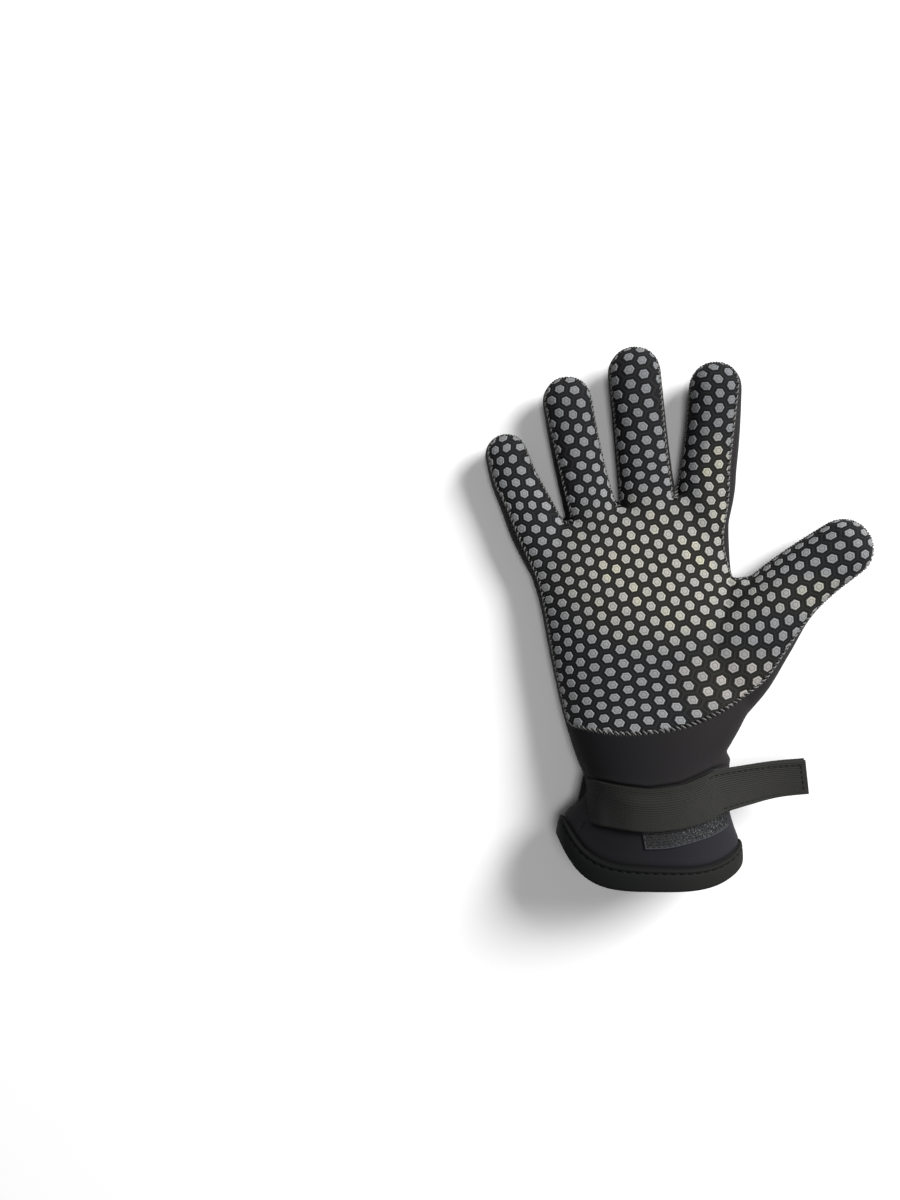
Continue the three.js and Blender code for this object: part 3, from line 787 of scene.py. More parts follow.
class PrintedCloth:
    """Finds the place on the glove of a place on the print, for one digit and the palm at a time."""

    ROOTS = {"little": 1, "ring": 1, "middle": 1, "index": 1, "thumb": 2}  # the rows of their roots
    STEPS = 6  # sections for each row of a digit's table
    PALM_UNTIL = (-8, 6)  # how far past its root a digit's cloth is the palm's too, and how far if level
    OUTSIDE = -5  # cloth this far outside the seam isn't looked up

    def __init__(self, rows, skin, faces):
        self.rows = rows
        self.seam_at = skin.names.index("seam")
        points = column(rows, skin, "x", "y", "z")
        # where two stretches share a place of the print, the one higher on the glove is found first
        self.corners = np.column_stack([column(rows, skin, "a", "b"), points[:, 2] / 20])
        gaps, ahead = [], []
        for name, root in self.ROOTS.items():
            _, middle, along = digit_frames(DIGITS[name], self.STEPS)
            gaps.append(((points[:, None, :2] - middle[None]) ** 2).sum(-1).min(1))
            ahead.append((points[:, :2] - middle[self.STEPS * root]) @ along[self.STEPS * root])
        self.nearest = np.argmin(gaps, 0)
        past_root = np.array(ahead)[self.nearest, np.arange(len(rows))]
        level = column(rows, skin, "nz") > 0.6
        on_palm = (past_root < self.PALM_UNTIL[0]) | ((past_root < self.PALM_UNTIL[1]) & level)
        kept = [f for f in faces if rows[list(f), self.seam_at].min() > self.OUTSIDE]
        self.triangles, self.trees = [], []
        for digit in range(len(self.ROOTS)):
            its_own = on_palm | (self.nearest == digit)
            own_faces = [f for f in kept if its_own[list(f)].all()]
            triangles = [(f[0], f[k], f[k + 1]) for f in own_faces for k in range(1, len(f) - 1)]
            self.triangles.append(triangles)
            self.trees.append(BVHTree.FromPolygons(self.corners.tolist(), triangles))

    def triangle_at(self, place, digit):
        """The triangle of a digit or its part of the palm that holds a place of the print, or None."""
        found = self.trees[digit].ray_cast(Vector((*place, PRINT_TOP)), Vector((0, 0, -1)))[2]
        return None if found is None else list(self.triangles[digit][found])

    def at(self, place, digit):
        """The row of values at a place of the print, or None."""
        triangle = self.triangle_at(place, digit)
        if triangle is None:
            return None
        # v and w are the shares of the second and third corner
        (ax, ay), (bx, by), (cx, cy) = self.corners[triangle, :2]
        area = (bx - ax) * (cy - ay) - (cx - ax) * (by - ay)
        v = ((place[0] - ax) * (cy - ay) - (cx - ax) * (place[1] - ay)) / area
        w = ((bx - ax) * (place[1] - ay) - (place[0] - ax) * (by - ay)) / area
        return np.array([1 - v - w, v, w]) @ self.rows[triangle]

    def digits_at(self, place):
        """The digits that a place of the print lies nearest to, or one that reaches it from the palm."""
        found = {digit: self.triangle_at(place, digit) for digit in range(len(self.ROOTS))}
        reached = [digit for digit, triangle in found.items() if triangle]
        return [digit for digit in reached if self.nearest[found[digit][0]] == digit] or reached[:1]


def one_dot(cloth, place, digit):
    """One dot as points, their shades and distances from the seam, or None beyond the cloth."""
    middle = cloth.at(place, digit)
    digits = [digit] + [other for other in range(len(cloth.ROOTS)) if other != digit]

    def beside(step):
        """Where a short step on the print leads, read from its other side where the cloth folds away."""
        for sign, part, other in product((1, -1), (1, 0.5, 0.25), digits):
            farthest = STEP_LIMIT * part * np.linalg.norm(step)
            row = cloth.at(place + sign * part * step, other)
            if row is not None and np.linalg.norm(row[:3] - middle[:3]) < farthest:
                return sign * (row - middle) / part
        return None

    angles = np.radians(30 + 60 * np.arange(6))
    points, tones, seams = [], [], []
    for share, height, tone in zip(*DOT_RINGS.values()):
        size = DOT_RADIUS * share
        for corner in np.stack([np.cos(angles), np.sin(angles)], 1):
            way = beside(corner * size / PRINT_PITCH)
            if way is None:
                return None
            length = np.linalg.norm(way[:3])
            least, most = (size * spread for spread in DOT_SPREAD)
            row = middle + way * np.clip(length, least, most) / max(length, 1e-6)
            points.append(row[:3] + unit(row[3:6]) * (height - groove(row[cloth.seam_at])))
            tones.append(tone)
            seams.append(row[cloth.seam_at])
    return points, tones, seams


def grip_dots(cloth):
    """The raised dots of the print, each a low hexagon with a finer one let into its top."""
    low, high = cloth.corners.min(0), cloth.corners.max(0)
    points, faces, shade, seam, centres = [], [], [], [], []
    rings = last_of(DOT_RINGS)
    one = grid_faces(rings + 1, 6, closed_columns=True)
    one += [tuple(6 * rings + m for m in range(6)), tuple(reversed(range(6)))]
    for i in range(math.floor(-high[1] / ROW_STEP), math.ceil(-low[1] / ROW_STEP) + 1):
        for j in range(math.floor(low[0] - i / 2), math.ceil(high[0] - i / 2) + 1):
            place = dot_place(i, j)
            for digit in cloth.digits_at(place):
                dot = one_dot(cloth, place, digit)
                if dot is None or max(dot[2]) < DOT_LEAST:
                    continue
                base = len(points)
                points += dot[0]
                shade += dot[1]
                seam += dot[2]
                centres += [tuple(place)] * len(dot[0])
                faces += [tuple(base + m for m in f) for f in one]
    return np.array(points), faces, np.array(shade), np.array(seam), np.array(centres)


def cut_dots(points, faces, shade, seam, centres, edge=0.15):
    """The dots as one object, cut off along the panel's edge and closed there."""
    mesh = bmesh.new()
    names = ("x", "y", "z", "shade", "a", "b")
    layers = [mesh.verts.layers.float.new(name) for name in names]
    values = np.column_stack([points, shade, centres])
    for row, value in zip(values.tolist(), seam.tolist()):
        vertex = mesh.verts.new((row[0], row[1], value))
        for layer, part in zip(layers, row):
            vertex[layer] = part
    mesh.verts.ensure_lookup_table()
    for f in faces:
        mesh.faces.new([mesh.verts[i] for i in f])
    cut_level(mesh, mesh.verts[:] + mesh.edges[:] + mesh.faces[:], edge, near=0.02, drop_below=True)
    for vertex in mesh.verts:
        vertex.co = [vertex[layer] * MM for layer in layers[:3]]
    bmesh.ops.holes_fill(mesh, edges=[e for e in mesh.edges if e.is_boundary], sides=0)
    bmesh.ops.recalc_face_normals(mesh, faces=mesh.faces[:])
    # the finished mesh keeps what the rubber's finish reads
    for name in names[:3]:
        mesh.verts.layers.float.remove(mesh.verts.layers.float[name])
    data = bpy.data.meshes.new("grip_dots")
    mesh.to_mesh(data)
    return add_object("grip_dots", data)


# Bands, tapes and threads


def wrist_height(plan, grow):
    """The height of the wrist's palm side over places in plan, on the skin grown by an amount."""
    _, row, lateral, half, _ = along_hand(plan)
    c = np.clip(lateral / (half + grow), -1, 1)
    return row["mid"] + (row["rise"] + grow) * (1 - np.abs(c) ** FULLNESS) ** (1 / FULLNESS)


def strap_lift(x, v):
    """How far the strap is above the skin: out of the side seam, over the patch and over its own tape."""
    beside = smoothstep(x, *(PATCH["fx"][0] - run for run in PATCH_RISE))
    over = smoothstep(v, 0.1, 0.4)
    doubled = smoothstep(x, TAPE_START - TAPE_RISE, TAPE_START)
    lift = STRAP_LIFT + (STRAP_OVER_PATCH - STRAP_LIFT) * beside * over
    lift = lift + (STRAP_OVER_TAPE - lift) * doubled
    return lift - STRAP_SUNK * (1 - smoothstep(x, *(STRAP["fx"][0] + run for run in SUNK_RUN)))


class Band:
    """A band's lower face: u runs from 0 to 1 along it, and v across it from its finger side."""

    def __init__(self, rows, lift_at, free=None):
        self.rows, self.lift_at, self.free = rows, lift_at, free

    def lower(self, u, v):
        u, v = np.broadcast_arrays(np.asarray(u, float), np.asarray(v, float))
        flat_u, flat_v = u.ravel(), v.ravel()
        t = flat_u * last_of(self.rows)
        row = row_at(self.rows, t)
        x, y = (row["f" + axis] + (row["c" + axis] - row["f" + axis]) * flat_v for axis in "xy")
        height = wrist_height(np.stack([x, y], 1), self.lift_at(x, flat_v))
        if self.free:
            hanging = row["fz"] + (row["cz"] - row["fz"]) * flat_v
            height = height + (hanging - height) * smoothstep(t, *self.free)
        return np.stack([x, y, height], 1).reshape(u.shape + (3,))

    def normals(self, u, v, step=1e-3):
        u = np.clip(u, 2 * step, 1 - 2 * step)
        along = self.lower(u + step, v) - self.lower(u - step, v)
        across = self.lower(u, v + step) - self.lower(u, v - step)
        return unit(np.cross(across, along))

    def at(self, u, v, height):
        """Points at a height above the lower face."""
        return self.lower(u, v) + self.normals(u, v) * np.asarray(height)[..., None]


def edge_round(distance, radius):
    """How much of its full thickness a band has at a distance from its edge."""
    near = 1 - np.clip(distance / radius, 0, 1)
    return np.sqrt(1 - near * near)


def grid_faces(rows, columns, closed_rows=False, closed_columns=False):
    """The faces of a grid of points, open or closed in itself each way."""
    i, j = np.meshgrid(
        np.arange(rows if closed_rows else rows - 1),
        np.arange(columns if closed_columns else columns - 1), indexing="ij",
    )
    i, j = i.ravel(), j.ravel()
    after_i, after_j = (i + 1) % rows, (j + 1) % columns
    corners = [i * columns + j, after_i * columns + j, after_i * columns + after_j, i * columns + after_j]
    return [tuple(f) for f in np.stack(corners, 1).tolist()]


def band_piece(name, band, u, v, low, high):
    """A closed slab along a band, between two heights over each place of its grid."""
    uu, vv = np.meshgrid(u, v, indexing="ij")
    upper = band.at(uu, vv, high).reshape(-1, 3)
    lower = band.at(uu, vv, low).reshape(-1, 3)
    rows, columns = uu.shape
    count = rows * columns
    faces = [tuple(reversed(f)) for f in grid_faces(rows, columns)]
    faces += [tuple(i + count for i in reversed(f)) for f in faces]
    index = np.arange(count).reshape(rows, columns)
    border = np.concatenate([index[0, :-1], index[:-1, -1], index[-1, :0:-1], index[:0:-1, 0]]).tolist()
    faces += [(a, a + count, b + count, b) for a, b in zip(border, border[1:] + border[:1])]
    obj = mesh_object(name, np.concatenate([upper, lower]), faces)
    along = np.interp(uu.ravel(), u, run_length(band.lower(u, 0.5)))
    across = vv.ravel() * np.linalg.norm(band.lower(0.5, 1.0) - band.lower(0.5, 0.0))
    lay_map(obj, "weave", np.stack([along, across], 1))
    finish_normals(obj)
    return obj


def finish_normals(obj, sharp=SMOOTH_ANGLE):
    """Turns a closed mesh's faces outwards and smooths it up to an angle."""
    mesh = bmesh.new()
    mesh.from_mesh(obj.data)
    bmesh.ops.recalc_face_normals(mesh, faces=mesh.faces[:])
    mesh.to_mesh(obj.data)
    mesh.free()
    choose(obj)
    bpy.ops.object.shade_smooth_by_angle(angle=sharp)


def spaced_for_edges(count, length, radius):
    """Places from 0 to 1 along a length, closer together where its two ends are rounded."""
    turn = np.linspace(0, math.pi / 2, 6)
    rounded = (1 - np.cos(turn)) * radius / length
    even = np.linspace(rounded[-1], 1 - rounded[-1], count)
    return np.unique(np.concatenate([rounded, even, 1 - rounded]))


def band_grid(counts, size, radii, start=0.0):
    """Places along and across a band from a start on, and how much of its thickness it has at each."""
    share, v = (spaced_for_edges(*one) for one in zip(counts, size, radii))
    near_end = np.minimum(share, 1 - share) * size[0]
    near_side = np.minimum(v, 1 - v) * size[1]
    rounded = edge_round(near_end, radii[0])[:, None] * edge_round(near_side, radii[1])
    return start + (1 - start) * share, v, rounded


def threads(name, centres, ups, radius, sides=5):
    """Many short threads as one piece, with a row of centres and of directions off the cloth for each."""
    count, length = centres.shape[:2]
    along = unit(np.gradient(centres, axis=1))
    beside = unit(np.cross(along, ups))
    up = np.cross(beside, along)
    angle = turns(sides)
    ring = up[:, :, None] * np.cos(angle)[:, None] + beside[:, :, None] * np.sin(angle)[:, None]
    points = (centres[:, :, None] + ring * radius).reshape(-1, 3)
    one = grid_faces(length, sides, closed_columns=True)
    one += [tuple(range(sides)), tuple((length - 1) * sides + k for k in reversed(range(sides)))]
    faces = [tuple(i + k * length * sides for i in f) for k in range(count) for f in one]
    obj = mesh_object(name, points, faces)
    finish_normals(obj, ROUND_ANGLE)
    return obj


def dashes(points, ups, pitch, length, sink, rise, bends=5):
    """A row of stitches along a line, their ends sunk in: the centres and ways off the cloth of each."""
    gone = run_length(points)
    starts = np.arange(0, gone[-1] - length, pitch)
    share = np.linspace(0, 1, bends)
    at = starts[:, None] + share * length
    centres = np.stack([np.interp(at, gone, points[:, k]) for k in range(3)], -1)
    up = np.stack([np.interp(at, gone, ups[:, k]) for k in range(3)], -1)
    lift = rise - (rise + sink) * np.abs(2 * share - 1) ** 4
    return centres + up * lift[:, None], up


STITCH_PITCH = 2.6
STITCH_FOOT = -0.35  # the height of a stitch's ends
STITCH_RISE = 0.33  # how far it rises from there
DOT_CLIMB = 0.48  # and how much more over a dot
SEAM_ROUND = 12  # the radius over which the cloth falls away beside the seam


def seam_stitches(name, line, rng, start, back, front, slant, radius):
    """Overcast stitches along the palm's seam. Their front ends climb over the dots."""
    points, normals = line[:, :3], unit(line[:, 3:])
    along = unit(np.roll(points, -1, 0) - np.roll(points, 1, 0))
    step = np.linalg.norm(points[1] - points[0])
    count = int(len(points) * step / STITCH_PITCH)
    at = (np.arange(count) + start) * len(points) / count + rng.uniform(-0.6, 0.6, count)
    at = at.astype(int) % len(points)
    across = unit(np.cross(normals, along))[at]
    points, normals, along = points[at], normals[at], along[at]
    share = np.linspace(-1, 1, 7)
    u = share * np.where(share > 0, front, back)
    over_dots = DOT_CLIMB * smoothstep(share, -0.1, 0.4) * (1 - share**8)
    height = STITCH_FOOT + STITCH_RISE * (1 - np.abs(share) ** 4) + over_dots - u * u / (2 * SEAM_ROUND)
    slant = slant + rng.uniform(-0.15, 0.15, count)
    centres = (
        points[:, None] + across[:, None] * u[:, None] + along[:, None] * (u * slant[:, None])[..., None]
        + normals[:, None] * height[:, None]
    )
    return threads(name, centres, np.repeat(normals[:, None], len(u), 1), radius)


# The binding's rings, from its upper edge over the cuff's mouth and up its inside: t counts HAND's rows,
# and each ring grows so far out of that section and slides so far along the glove.
BINDING = table("t grow slide", [
    (1.0, 0.3, 0), (1.0, 0.85, 0), (0.985, 1.15, 0), (0.96, 1.28, 0), (0.915, 1.28, 0),
    (0.88, 1.1, 0), (0.86, 0.85, 0), (0.83, 0.82, 0), (0.805, 1.0, 0), (0.76, 1.16, 0),
    (0.6, 1.22, 0), (0.32, 1.24, 0), (0.16, 1.22, 0), (0.04, 1.2, -0.25), (0, 1.12, -0.8),
    (0, 0.7, -1.25), (0, 0, -1.45), (0, -1.3, -1.5), (0, -2.6, -1.45), (0, -3.3, -1.25),
    (0, -3.72, -0.8), (0.04, -3.8, -0.25), (0.3, -3.8, 0), (0.6, -3.8, 0), (0.95, -3.75, 0),
    (1, -3.4, 0), (1, -2.95, 0), (0.6, -2.9, 0), (0.2, -2.9, 0), (0, -2.9, -0.3),
    (0, -1.3, -0.35), (0, 0.3, -0.3), (0.2, 0.3, 0), (0.6, 0.3, 0),
])
BINDING_GROOVE = 0.845  # the t at which its stitches lie
GROOVE_GROW = 0.82  # and how far off the skin's outside


def cuff_binding(around=220):
    """The folded tape over the cuff's edge, with a sewn groove under its upper edge."""
    angle = turns(around)
    rings = [
        hand_point(row_at(HAND, np.full(around, t)), angle, grow, slide)
        for t, grow, slide in zip(*BINDING.values())
    ]
    faces = grid_faces(len(rings), around, closed_rows=True, closed_columns=True)
    obj = mesh_object("cuff_binding", np.concatenate(rings), faces)
    finish_normals(obj, ROUND_ANGLE)
    return obj


def binding_stitches(pitch=4.0):
    """A row of stitches in the binding's groove."""
    angle = np.linspace(0, 2 * math.pi, 1200)
    row = row_at(HAND, np.full(len(angle), BINDING_GROOVE))
    lower, upper = hand_point(row, angle, GROOVE_GROW), hand_point(row, angle, GROOVE_GROW + 1)
    centres, ups = dashes(lower, unit(upper - lower), pitch, 3.0, sink=0.3, rise=0.2)
    return threads("binding_stitches", centres, ups, 0.3)


def band_stitches(name, band, lines, height, pitch, length, radius):
    """Rows of stitches along lines (u0, v0, u1, v1) of a band."""
    sewn = []
    for u0, v0, u1, v1 in lines:
        u, v = np.linspace(u0, u1, 200), np.linspace(v0, v1, 200)
        sewn.append(dashes(band.at(u, v, height), band.normals(u, v), pitch, length, sink=0.2, rise=0.1))
    centres = np.concatenate([s[0] for s in sewn])
    ups = np.concatenate([s[1] for s in sewn])
    return threads(name, centres, ups, radius)


RIB_PITCH = 1.0
RIB_HEIGHT = 0.12


def thinned(rounded, least):
    """A band's share of its thickness, with no less than a least share at its very edge."""
    return least + (1 - least) * rounded


def wrist_strap(band):
    """The strap: elastic webbing with lengthwise ribs, its edges rounded and its free end cut square."""
    u, v, rounded = band_grid((170, 100), STRAP_SIZE, (0.8, 0.7))
    rib = 0.5 - 0.5 * np.cos(2 * math.pi * v * STRAP_SIZE[1] / RIB_PITCH)
    half = STRAP_THICK / 2 * thinned(rounded, 0.25)
    middle = STRAP_THICK / 2
    high = middle + half - RIB_HEIGHT * (1 - rib) * rounded
    return band_piece("wrist_strap", band, u, v, middle - half, high)


def strap_loop_tape(band):
    """The soft loop tape under the strap's free end."""
    size = (TAPE_LENGTH, STRAP_SIZE[1])
    u, v, rounded = band_grid((60, 30), size, (0.6, 0.6), first_past(band, TAPE_START))
    half = TAPE_THICK / 2 * thinned(rounded, 0.3)
    middle = -TAPE_GAP - TAPE_THICK / 2
    return band_piece("strap_loop_tape", band, u, v, middle - half, middle + half)


def first_past(band, x):
    """How far along a band its finger-side edge passes an x."""
    u = np.linspace(0, 1, 400)
    return float(np.interp(x, band.lower(u, 0)[:, 0], u))


def hook_patch(band):
    """The hook tape's woven base on the cuff."""
    u, v, rounded = band_grid((80, 40), PATCH_SIZE, (0.4, 0.4))
    return band_piece("hook_patch", band, u, v, 0 * rounded, PATCH_BASE * thinned(rounded, 0.35))


HOOK_STEP = (1.25, 1.1)  # from hook to hook along and across the patch
HOOK_BEND = [(0, 0.4), (0, 0.85), (0.12, 1.15), (0.36, 1.2), (0.5, 0.98)]  # how far over and how high


def patch_hooks(band, rng):
    """The stiff little hooks that stand on the patch in rows."""
    length, width = PATCH_SIZE
    u = np.arange(2.2, length - 1.8, HOOK_STEP[0]) / length
    v = np.arange(1.7, width - 1.7, HOOK_STEP[1]) / width
    u, v = np.meshgrid(u, v)
    staggered = u + (np.arange(len(u)) % 2)[:, None] * 0.6 / length
    u = staggered.ravel() + rng.uniform(-0.25, 0.25, u.size) / length
    v = v.ravel() + rng.uniform(-0.15, 0.15, v.size) / width
    up = band.normals(u, v)
    base = band.lower(u, v)
    side = unit(band.lower(u + 1e-3, v) - base)
    turn = rng.uniform(-0.5, 0.5, len(u)) + np.where(rng.random(len(u)) < 0.5, 0, math.pi)
    lean = side * np.cos(turn)[:, None] + unit(np.cross(up, side)) * np.sin(turn)[:, None]
    tall = rng.uniform(0.88, 1.06, len(u))
    centres = np.stack([base + lean * over + up * (high * tall)[:, None] for over, high in HOOK_BEND], 1)
    ups = np.repeat(np.cross(up, lean)[:, None], len(HOOK_BEND), 1)
    return threads("patch_hooks", centres, ups, 0.14, sides=4)


# Finishes


def paint(red, green, blue):
    """A colour given as the eye sees it, from 0 to 255, for a shader."""
    values = [v / 255 for v in (red, green, blue)]
    linear = [v / 12.92 if v <= 0.04045 else ((v + 0.055) / 1.055) ** 2.4 for v in values]
    return (*linear, 1.0)


class Value:
    """A shader socket that the usual operators work on."""

    def __init__(self, finish, socket):
        self.finish, self.socket = finish, socket

    def math(self, operation, *others):
        return self.finish.node("Math", {"operation": operation}, self, *others)

    def __add__(self, other):
        return self.math("ADD", other)

    def __sub__(self, other):
        return self.math("SUBTRACT", other)

    def __rsub__(self, other):
        return self.finish.node("Math", {"operation": "SUBTRACT"}, other, self)

    def __mul__(self, other):
        return self.math("MULTIPLY", other)

    def __truediv__(self, other):
        return self.math("DIVIDE", other)

    def __abs__(self):
        return self.math("ABSOLUTE")

    def __round__(self):
        return self.math("ROUND")

    __radd__ = __add__
    __rmul__ = __mul__

    def least(self, other):
        return self.math("MINIMUM", other)

    def most(self, other):
        return self.math("MAXIMUM", other)

    def sine(self):
        return self.math("SINE")

    def cosine(self):
        return self.math("COSINE")

    def between(self, low, high):
        """0 below low, 1 above high, and a smooth rise between them."""
        return self.finish.node(
            "MapRange", {"interpolation_type": "SMOOTHSTEP"}, self, low, high, 0.0, 1.0
        )


class Finish:
    """A material made of nodes. Its constants go on the shader, and place is a point in millimetres."""

    def __init__(self, name, **constants):
        self.material = bpy.data.materials.new(name)
        self.material.use_nodes = True
        self.tree = self.material.node_tree
        self.shader = self.tree.nodes["Principled BSDF"]
        for socket, value in constants.items():
            self.shader.inputs[socket.replace("_", " ")].default_value = value
        coordinate = self.node("TexCoord", {}, output="Object")
        self.place = self.node("VectorMath", {"operation": "SCALE"}, coordinate, Scale=1 / MM)

    def feed(self, socket, value):
        if isinstance(value, Value):
            self.tree.links.new(value.socket, socket)
        else:
            socket.default_value = value

    def node(self, kind, settings, *values, output=0, **named):
        """Adds a node: its settings first, then its sockets in order or by name."""
        node = self.tree.nodes.new("ShaderNode" + kind)
        for key, value in settings.items():
            setattr(node, key, value)
        for socket, value in zip(node.inputs, values):
            self.feed(socket, value)
        for key, value in named.items():
            self.feed(node.inputs[key.replace("_", " ")], value)
        if output is None:
            return [Value(self, socket) for socket in node.outputs]
        return Value(self, node.outputs[output])

    def mix(self, factor, a, b):
        """Colour a where factor is 0 and colour b where it is 1. Three plain numbers are a paint."""
        node = self.tree.nodes.new("ShaderNodeMix")
        node.data_type = "RGBA"
        for index, value in ((0, factor), (6, a), (7, b)):
            self.feed(node.inputs[index], paint(*value) if isinstance(value, tuple) else value)
        return Value(self, node.outputs[2])

    def first_two(self, vector):
        """The first two parts of a vector."""
        return self.node("SeparateXYZ", {}, vector, output=None)[:2]

    def plan(self):
        """The x and y of a point."""
        return self.first_two(self.place)

    def laid(self, name):
        """The two places of a point on the piece's own UV map."""
        return self.first_two(self.node("UVMap", {"uv_map": name}))

    def known(self, name):
        """A value that the piece holds for each of its points."""
        return self.node("Attribute", {"attribute_name": name}, output="Fac")

    def noise(self, size, detail=2.0):
        """Uneven patches of about a size in millimetres, from 0 to 1."""
        return self.node("TexNoise", {}, self.place, Scale=1 / size, Detail=detail)

    def surface(self, color, roughness, relief=None, depth=0.0):
        """Wires the finish up. depth is the relief's height in millimetres."""
        self.feed(self.shader.inputs["Base Color"], color)
        self.feed(self.shader.inputs["Roughness"], roughness)
        if relief is not None:
            normal = self.node("Bump", {}, Strength=1.0, Distance=depth * MM, Height=relief)
            self.feed(self.shader.inputs["Normal"], normal)
        return self.material


def hexagon_distance(x, y):
    """How far a place is from the nearest of the print's grid points: 0.5 where two hexagons meet."""
    tall = math.sqrt(3)
    nearest = None
    for shift in (0.0, 0.5):
        u = x - shift
        v = (y - shift * tall) / tall
        u, v = abs(u - round(u)), abs(v - round(v)) * tall
        distance = u.most(u * 0.5 + v * (tall / 2))
        nearest = distance if nearest is None else nearest.least(distance)
    return nearest


def spot(x, y, at, size):
    """1 at a place of the glove, falling smoothly to 0 at a distance along and across."""
    along, across = (x - at[0]) * (1 / size[0]), (y - at[1]) * (1 / size[1])
    return 1 - (along * along + across * across).between(0.0, 1.0)


def palm_warmth(x, y):
    """Where the printed cloth is warm in tone: the palm's middle, index and thumb, and then the heel."""
    middle = spot(x, y, (6, 24), (60, 44))
    beside_index = spot(x, y, (33, 62), (10, 34))
    thumb_edge = spot(x, y, (76, 12), (34, 12))
    return middle.most(beside_index).most(thumb_edge * 0.6), spot(x, y, (38, -30), (34, 22))


def knitted(x, y, columns, rows):
    """The highs and lows of a fine knit, from 0 to 1."""
    return ((x * columns).sine() * (y * rows).sine()) * 0.5 + 0.5


def dotted_palm_cloth():
    finish = Finish("dotted_palm", Specular_IOR_Level=0.15)
    distance = hexagon_distance(*finish.laid("print"))
    x, y = finish.plan()
    weave = finish.noise(0.35, 1.0)
    patches = finish.noise(9.0)
    cool = finish.mix(patches, (17, 18, 21), (25, 26, 29))
    warm = finish.mix(patches, (33, 32, 28), (42, 41, 37))
    sunny, heel = palm_warmth(x, y)
    cloth = finish.mix(sunny.most(heel), cool, warm)
    ridge = distance.between(0.435, 0.46) * (1 - 0.7 * distance.between(0.472, 0.492))
    rim = distance.between(0.34, 0.38) * (1 - distance.between(0.41, 0.435))
    cloth = finish.mix(ridge * 0.32, cloth, (62, 61, 58))
    cloth = finish.mix(rim * 0.5, cloth, (8, 8, 10))
    cloth = finish.mix(weave * 0.35, cloth, (12, 12, 13))
    return finish.surface(cloth, 0.85 - patches * 0.1, weave + ridge * 0.4, 0.1)


def grip_rubber():
    finish = Finish("grip_rubber", Specular_IOR_Level=0.3)
    x, y = finish.plan()
    shade, a, b = (finish.known(name) for name in ("shade", "a", "b"))
    dot = finish.node("CombineXYZ", {}, round(a * 2), round(b * 2), 0.0)
    one_by_one = finish.node("TexWhiteNoise", {"noise_dimensions": "2D"}, dot)
    patches = finish.noise(12.0)
    rubber = finish.mix(patches, (126, 127, 129), (153, 154, 156))
    warm = finish.mix(one_by_one * patches.between(0.35, 0.7), (184, 182, 174), (212, 208, 176))
    sunny, heel = palm_warmth(x, y)
    # painted shade: the dots darken towards the fingertips
    rubber = finish.mix(y.between(58.0, 108.0) * 0.5, rubber, (104, 106, 110))
    rubber = finish.mix(sunny * (0.55 + 0.45 * patches), rubber, warm)
    rubber = finish.mix(heel * (0.15 + 0.6 * one_by_one), rubber, (188, 180, 171))
    rubber = finish.mix(shade * 0.5, rubber, (62, 62, 62))
    grain = finish.noise(0.5, 1.0)
    rubber = finish.mix(grain * 0.3, rubber, (96, 96, 96))
    return finish.surface(rubber, 0.65 + grain * 0.15, grain, 0.03)


def smooth_neoprene():
    finish = Finish("smooth_neoprene", Specular_IOR_Level=0.15, Sheen_Weight=0.03, Sheen_Roughness=0.5)
    x, y = finish.plan()
    crease = finish.known("crease")
    patches = finish.noise(22.0, 3.0)
    knit = knitted(x, y, 9.0, 7.0)
    nap = finish.noise(0.5, 2.0)
    cuff = 1 - y.between(-100.0, -78.0)
    # painted shade: the cloth darkens towards its left side, away from the light, reaching farther in
    # over the cuff
    lit_from_right = (x - cuff * 10).between(-38.0, 36.0)
    cloth = finish.mix(patches, (31, 29, 31), (37, 34, 35))
    cloth = finish.mix(cuff, cloth, (35, 35, 41))
    cloth = finish.mix((1 - lit_from_right) * 0.95, cloth, (7, 7, 11))
    cloth = finish.mix(nap * 0.3, cloth, (16, 16, 17))
    # painted shadow along the strap's and the binding's upper edges
    cloth = finish.mix(crease * 0.95, cloth, (3, 3, 3))
    return finish.surface(cloth, 0.74 + patches * 0.12, knit * 0.3 + nap, 0.06)


def binding_tape():
    finish = Finish("binding_tape", Specular_IOR_Level=0.12)
    x, y = finish.plan()
    weave = knitted(x, y, 8.0, 8.0)
    nap = finish.noise(0.8, 2.0)
    # painted light: the tape lightens towards its right side, where the light falls
    lit_from_right = x.between(-32.0, 46.0)
    tape = finish.mix(nap, (9, 10, 11), (17, 18, 18))
    tape = finish.mix(lit_from_right * 0.6, tape, (40, 40, 38))
    return finish.surface(tape, 0.8, weave * 0.5 + nap, 0.08)


def ribbed_webbing():
    finish = Finish("ribbed_webbing", Specular_IOR_Level=0.25)
    along, across = finish.laid("weave")
    x = finish.plan()[0]
    rib = 0.5 - (across * (2 * math.pi / RIB_PITCH)).cosine() * 0.5
    pick = (along * 9.0 + rib * 2.0).sine() * 0.5 + 0.5
    wear = finish.noise(5.0, 4.0)
    fibres = finish.noise(0.4, 2.0)
    cloth = finish.mix(wear, (39, 39, 36), (55, 54, 51))
    # painted shade: the strap darkens towards its left end, away from the light
    cloth = finish.mix((1 - x.between(-30.0, 20.0)) * 0.92, cloth, (8, 9, 10))
    cloth = finish.mix((1 - rib) * 0.55, cloth, (15, 15, 14))
    cloth = finish.mix(pick * 0.35, cloth, (22, 22, 20))
    cloth = finish.mix(fibres.between(0.6, 0.8) * 0.4 * x.between(-30.0, 0.0), cloth, (84, 83, 79))
    return finish.surface(cloth, 0.78 + wear * 0.1, rib * 0.6 + pick * 0.4 + fibres * 0.5, 0.12)


def loop_tape():
    finish = Finish("loop_tape", Specular_IOR_Level=0.2, Sheen_Weight=0.2)
    pile = finish.noise(0.7, 4.0)
    tape = finish.mix(pile, (18, 18, 18), (44, 44, 44))
    return finish.surface(tape, 0.95, pile, 0.4)


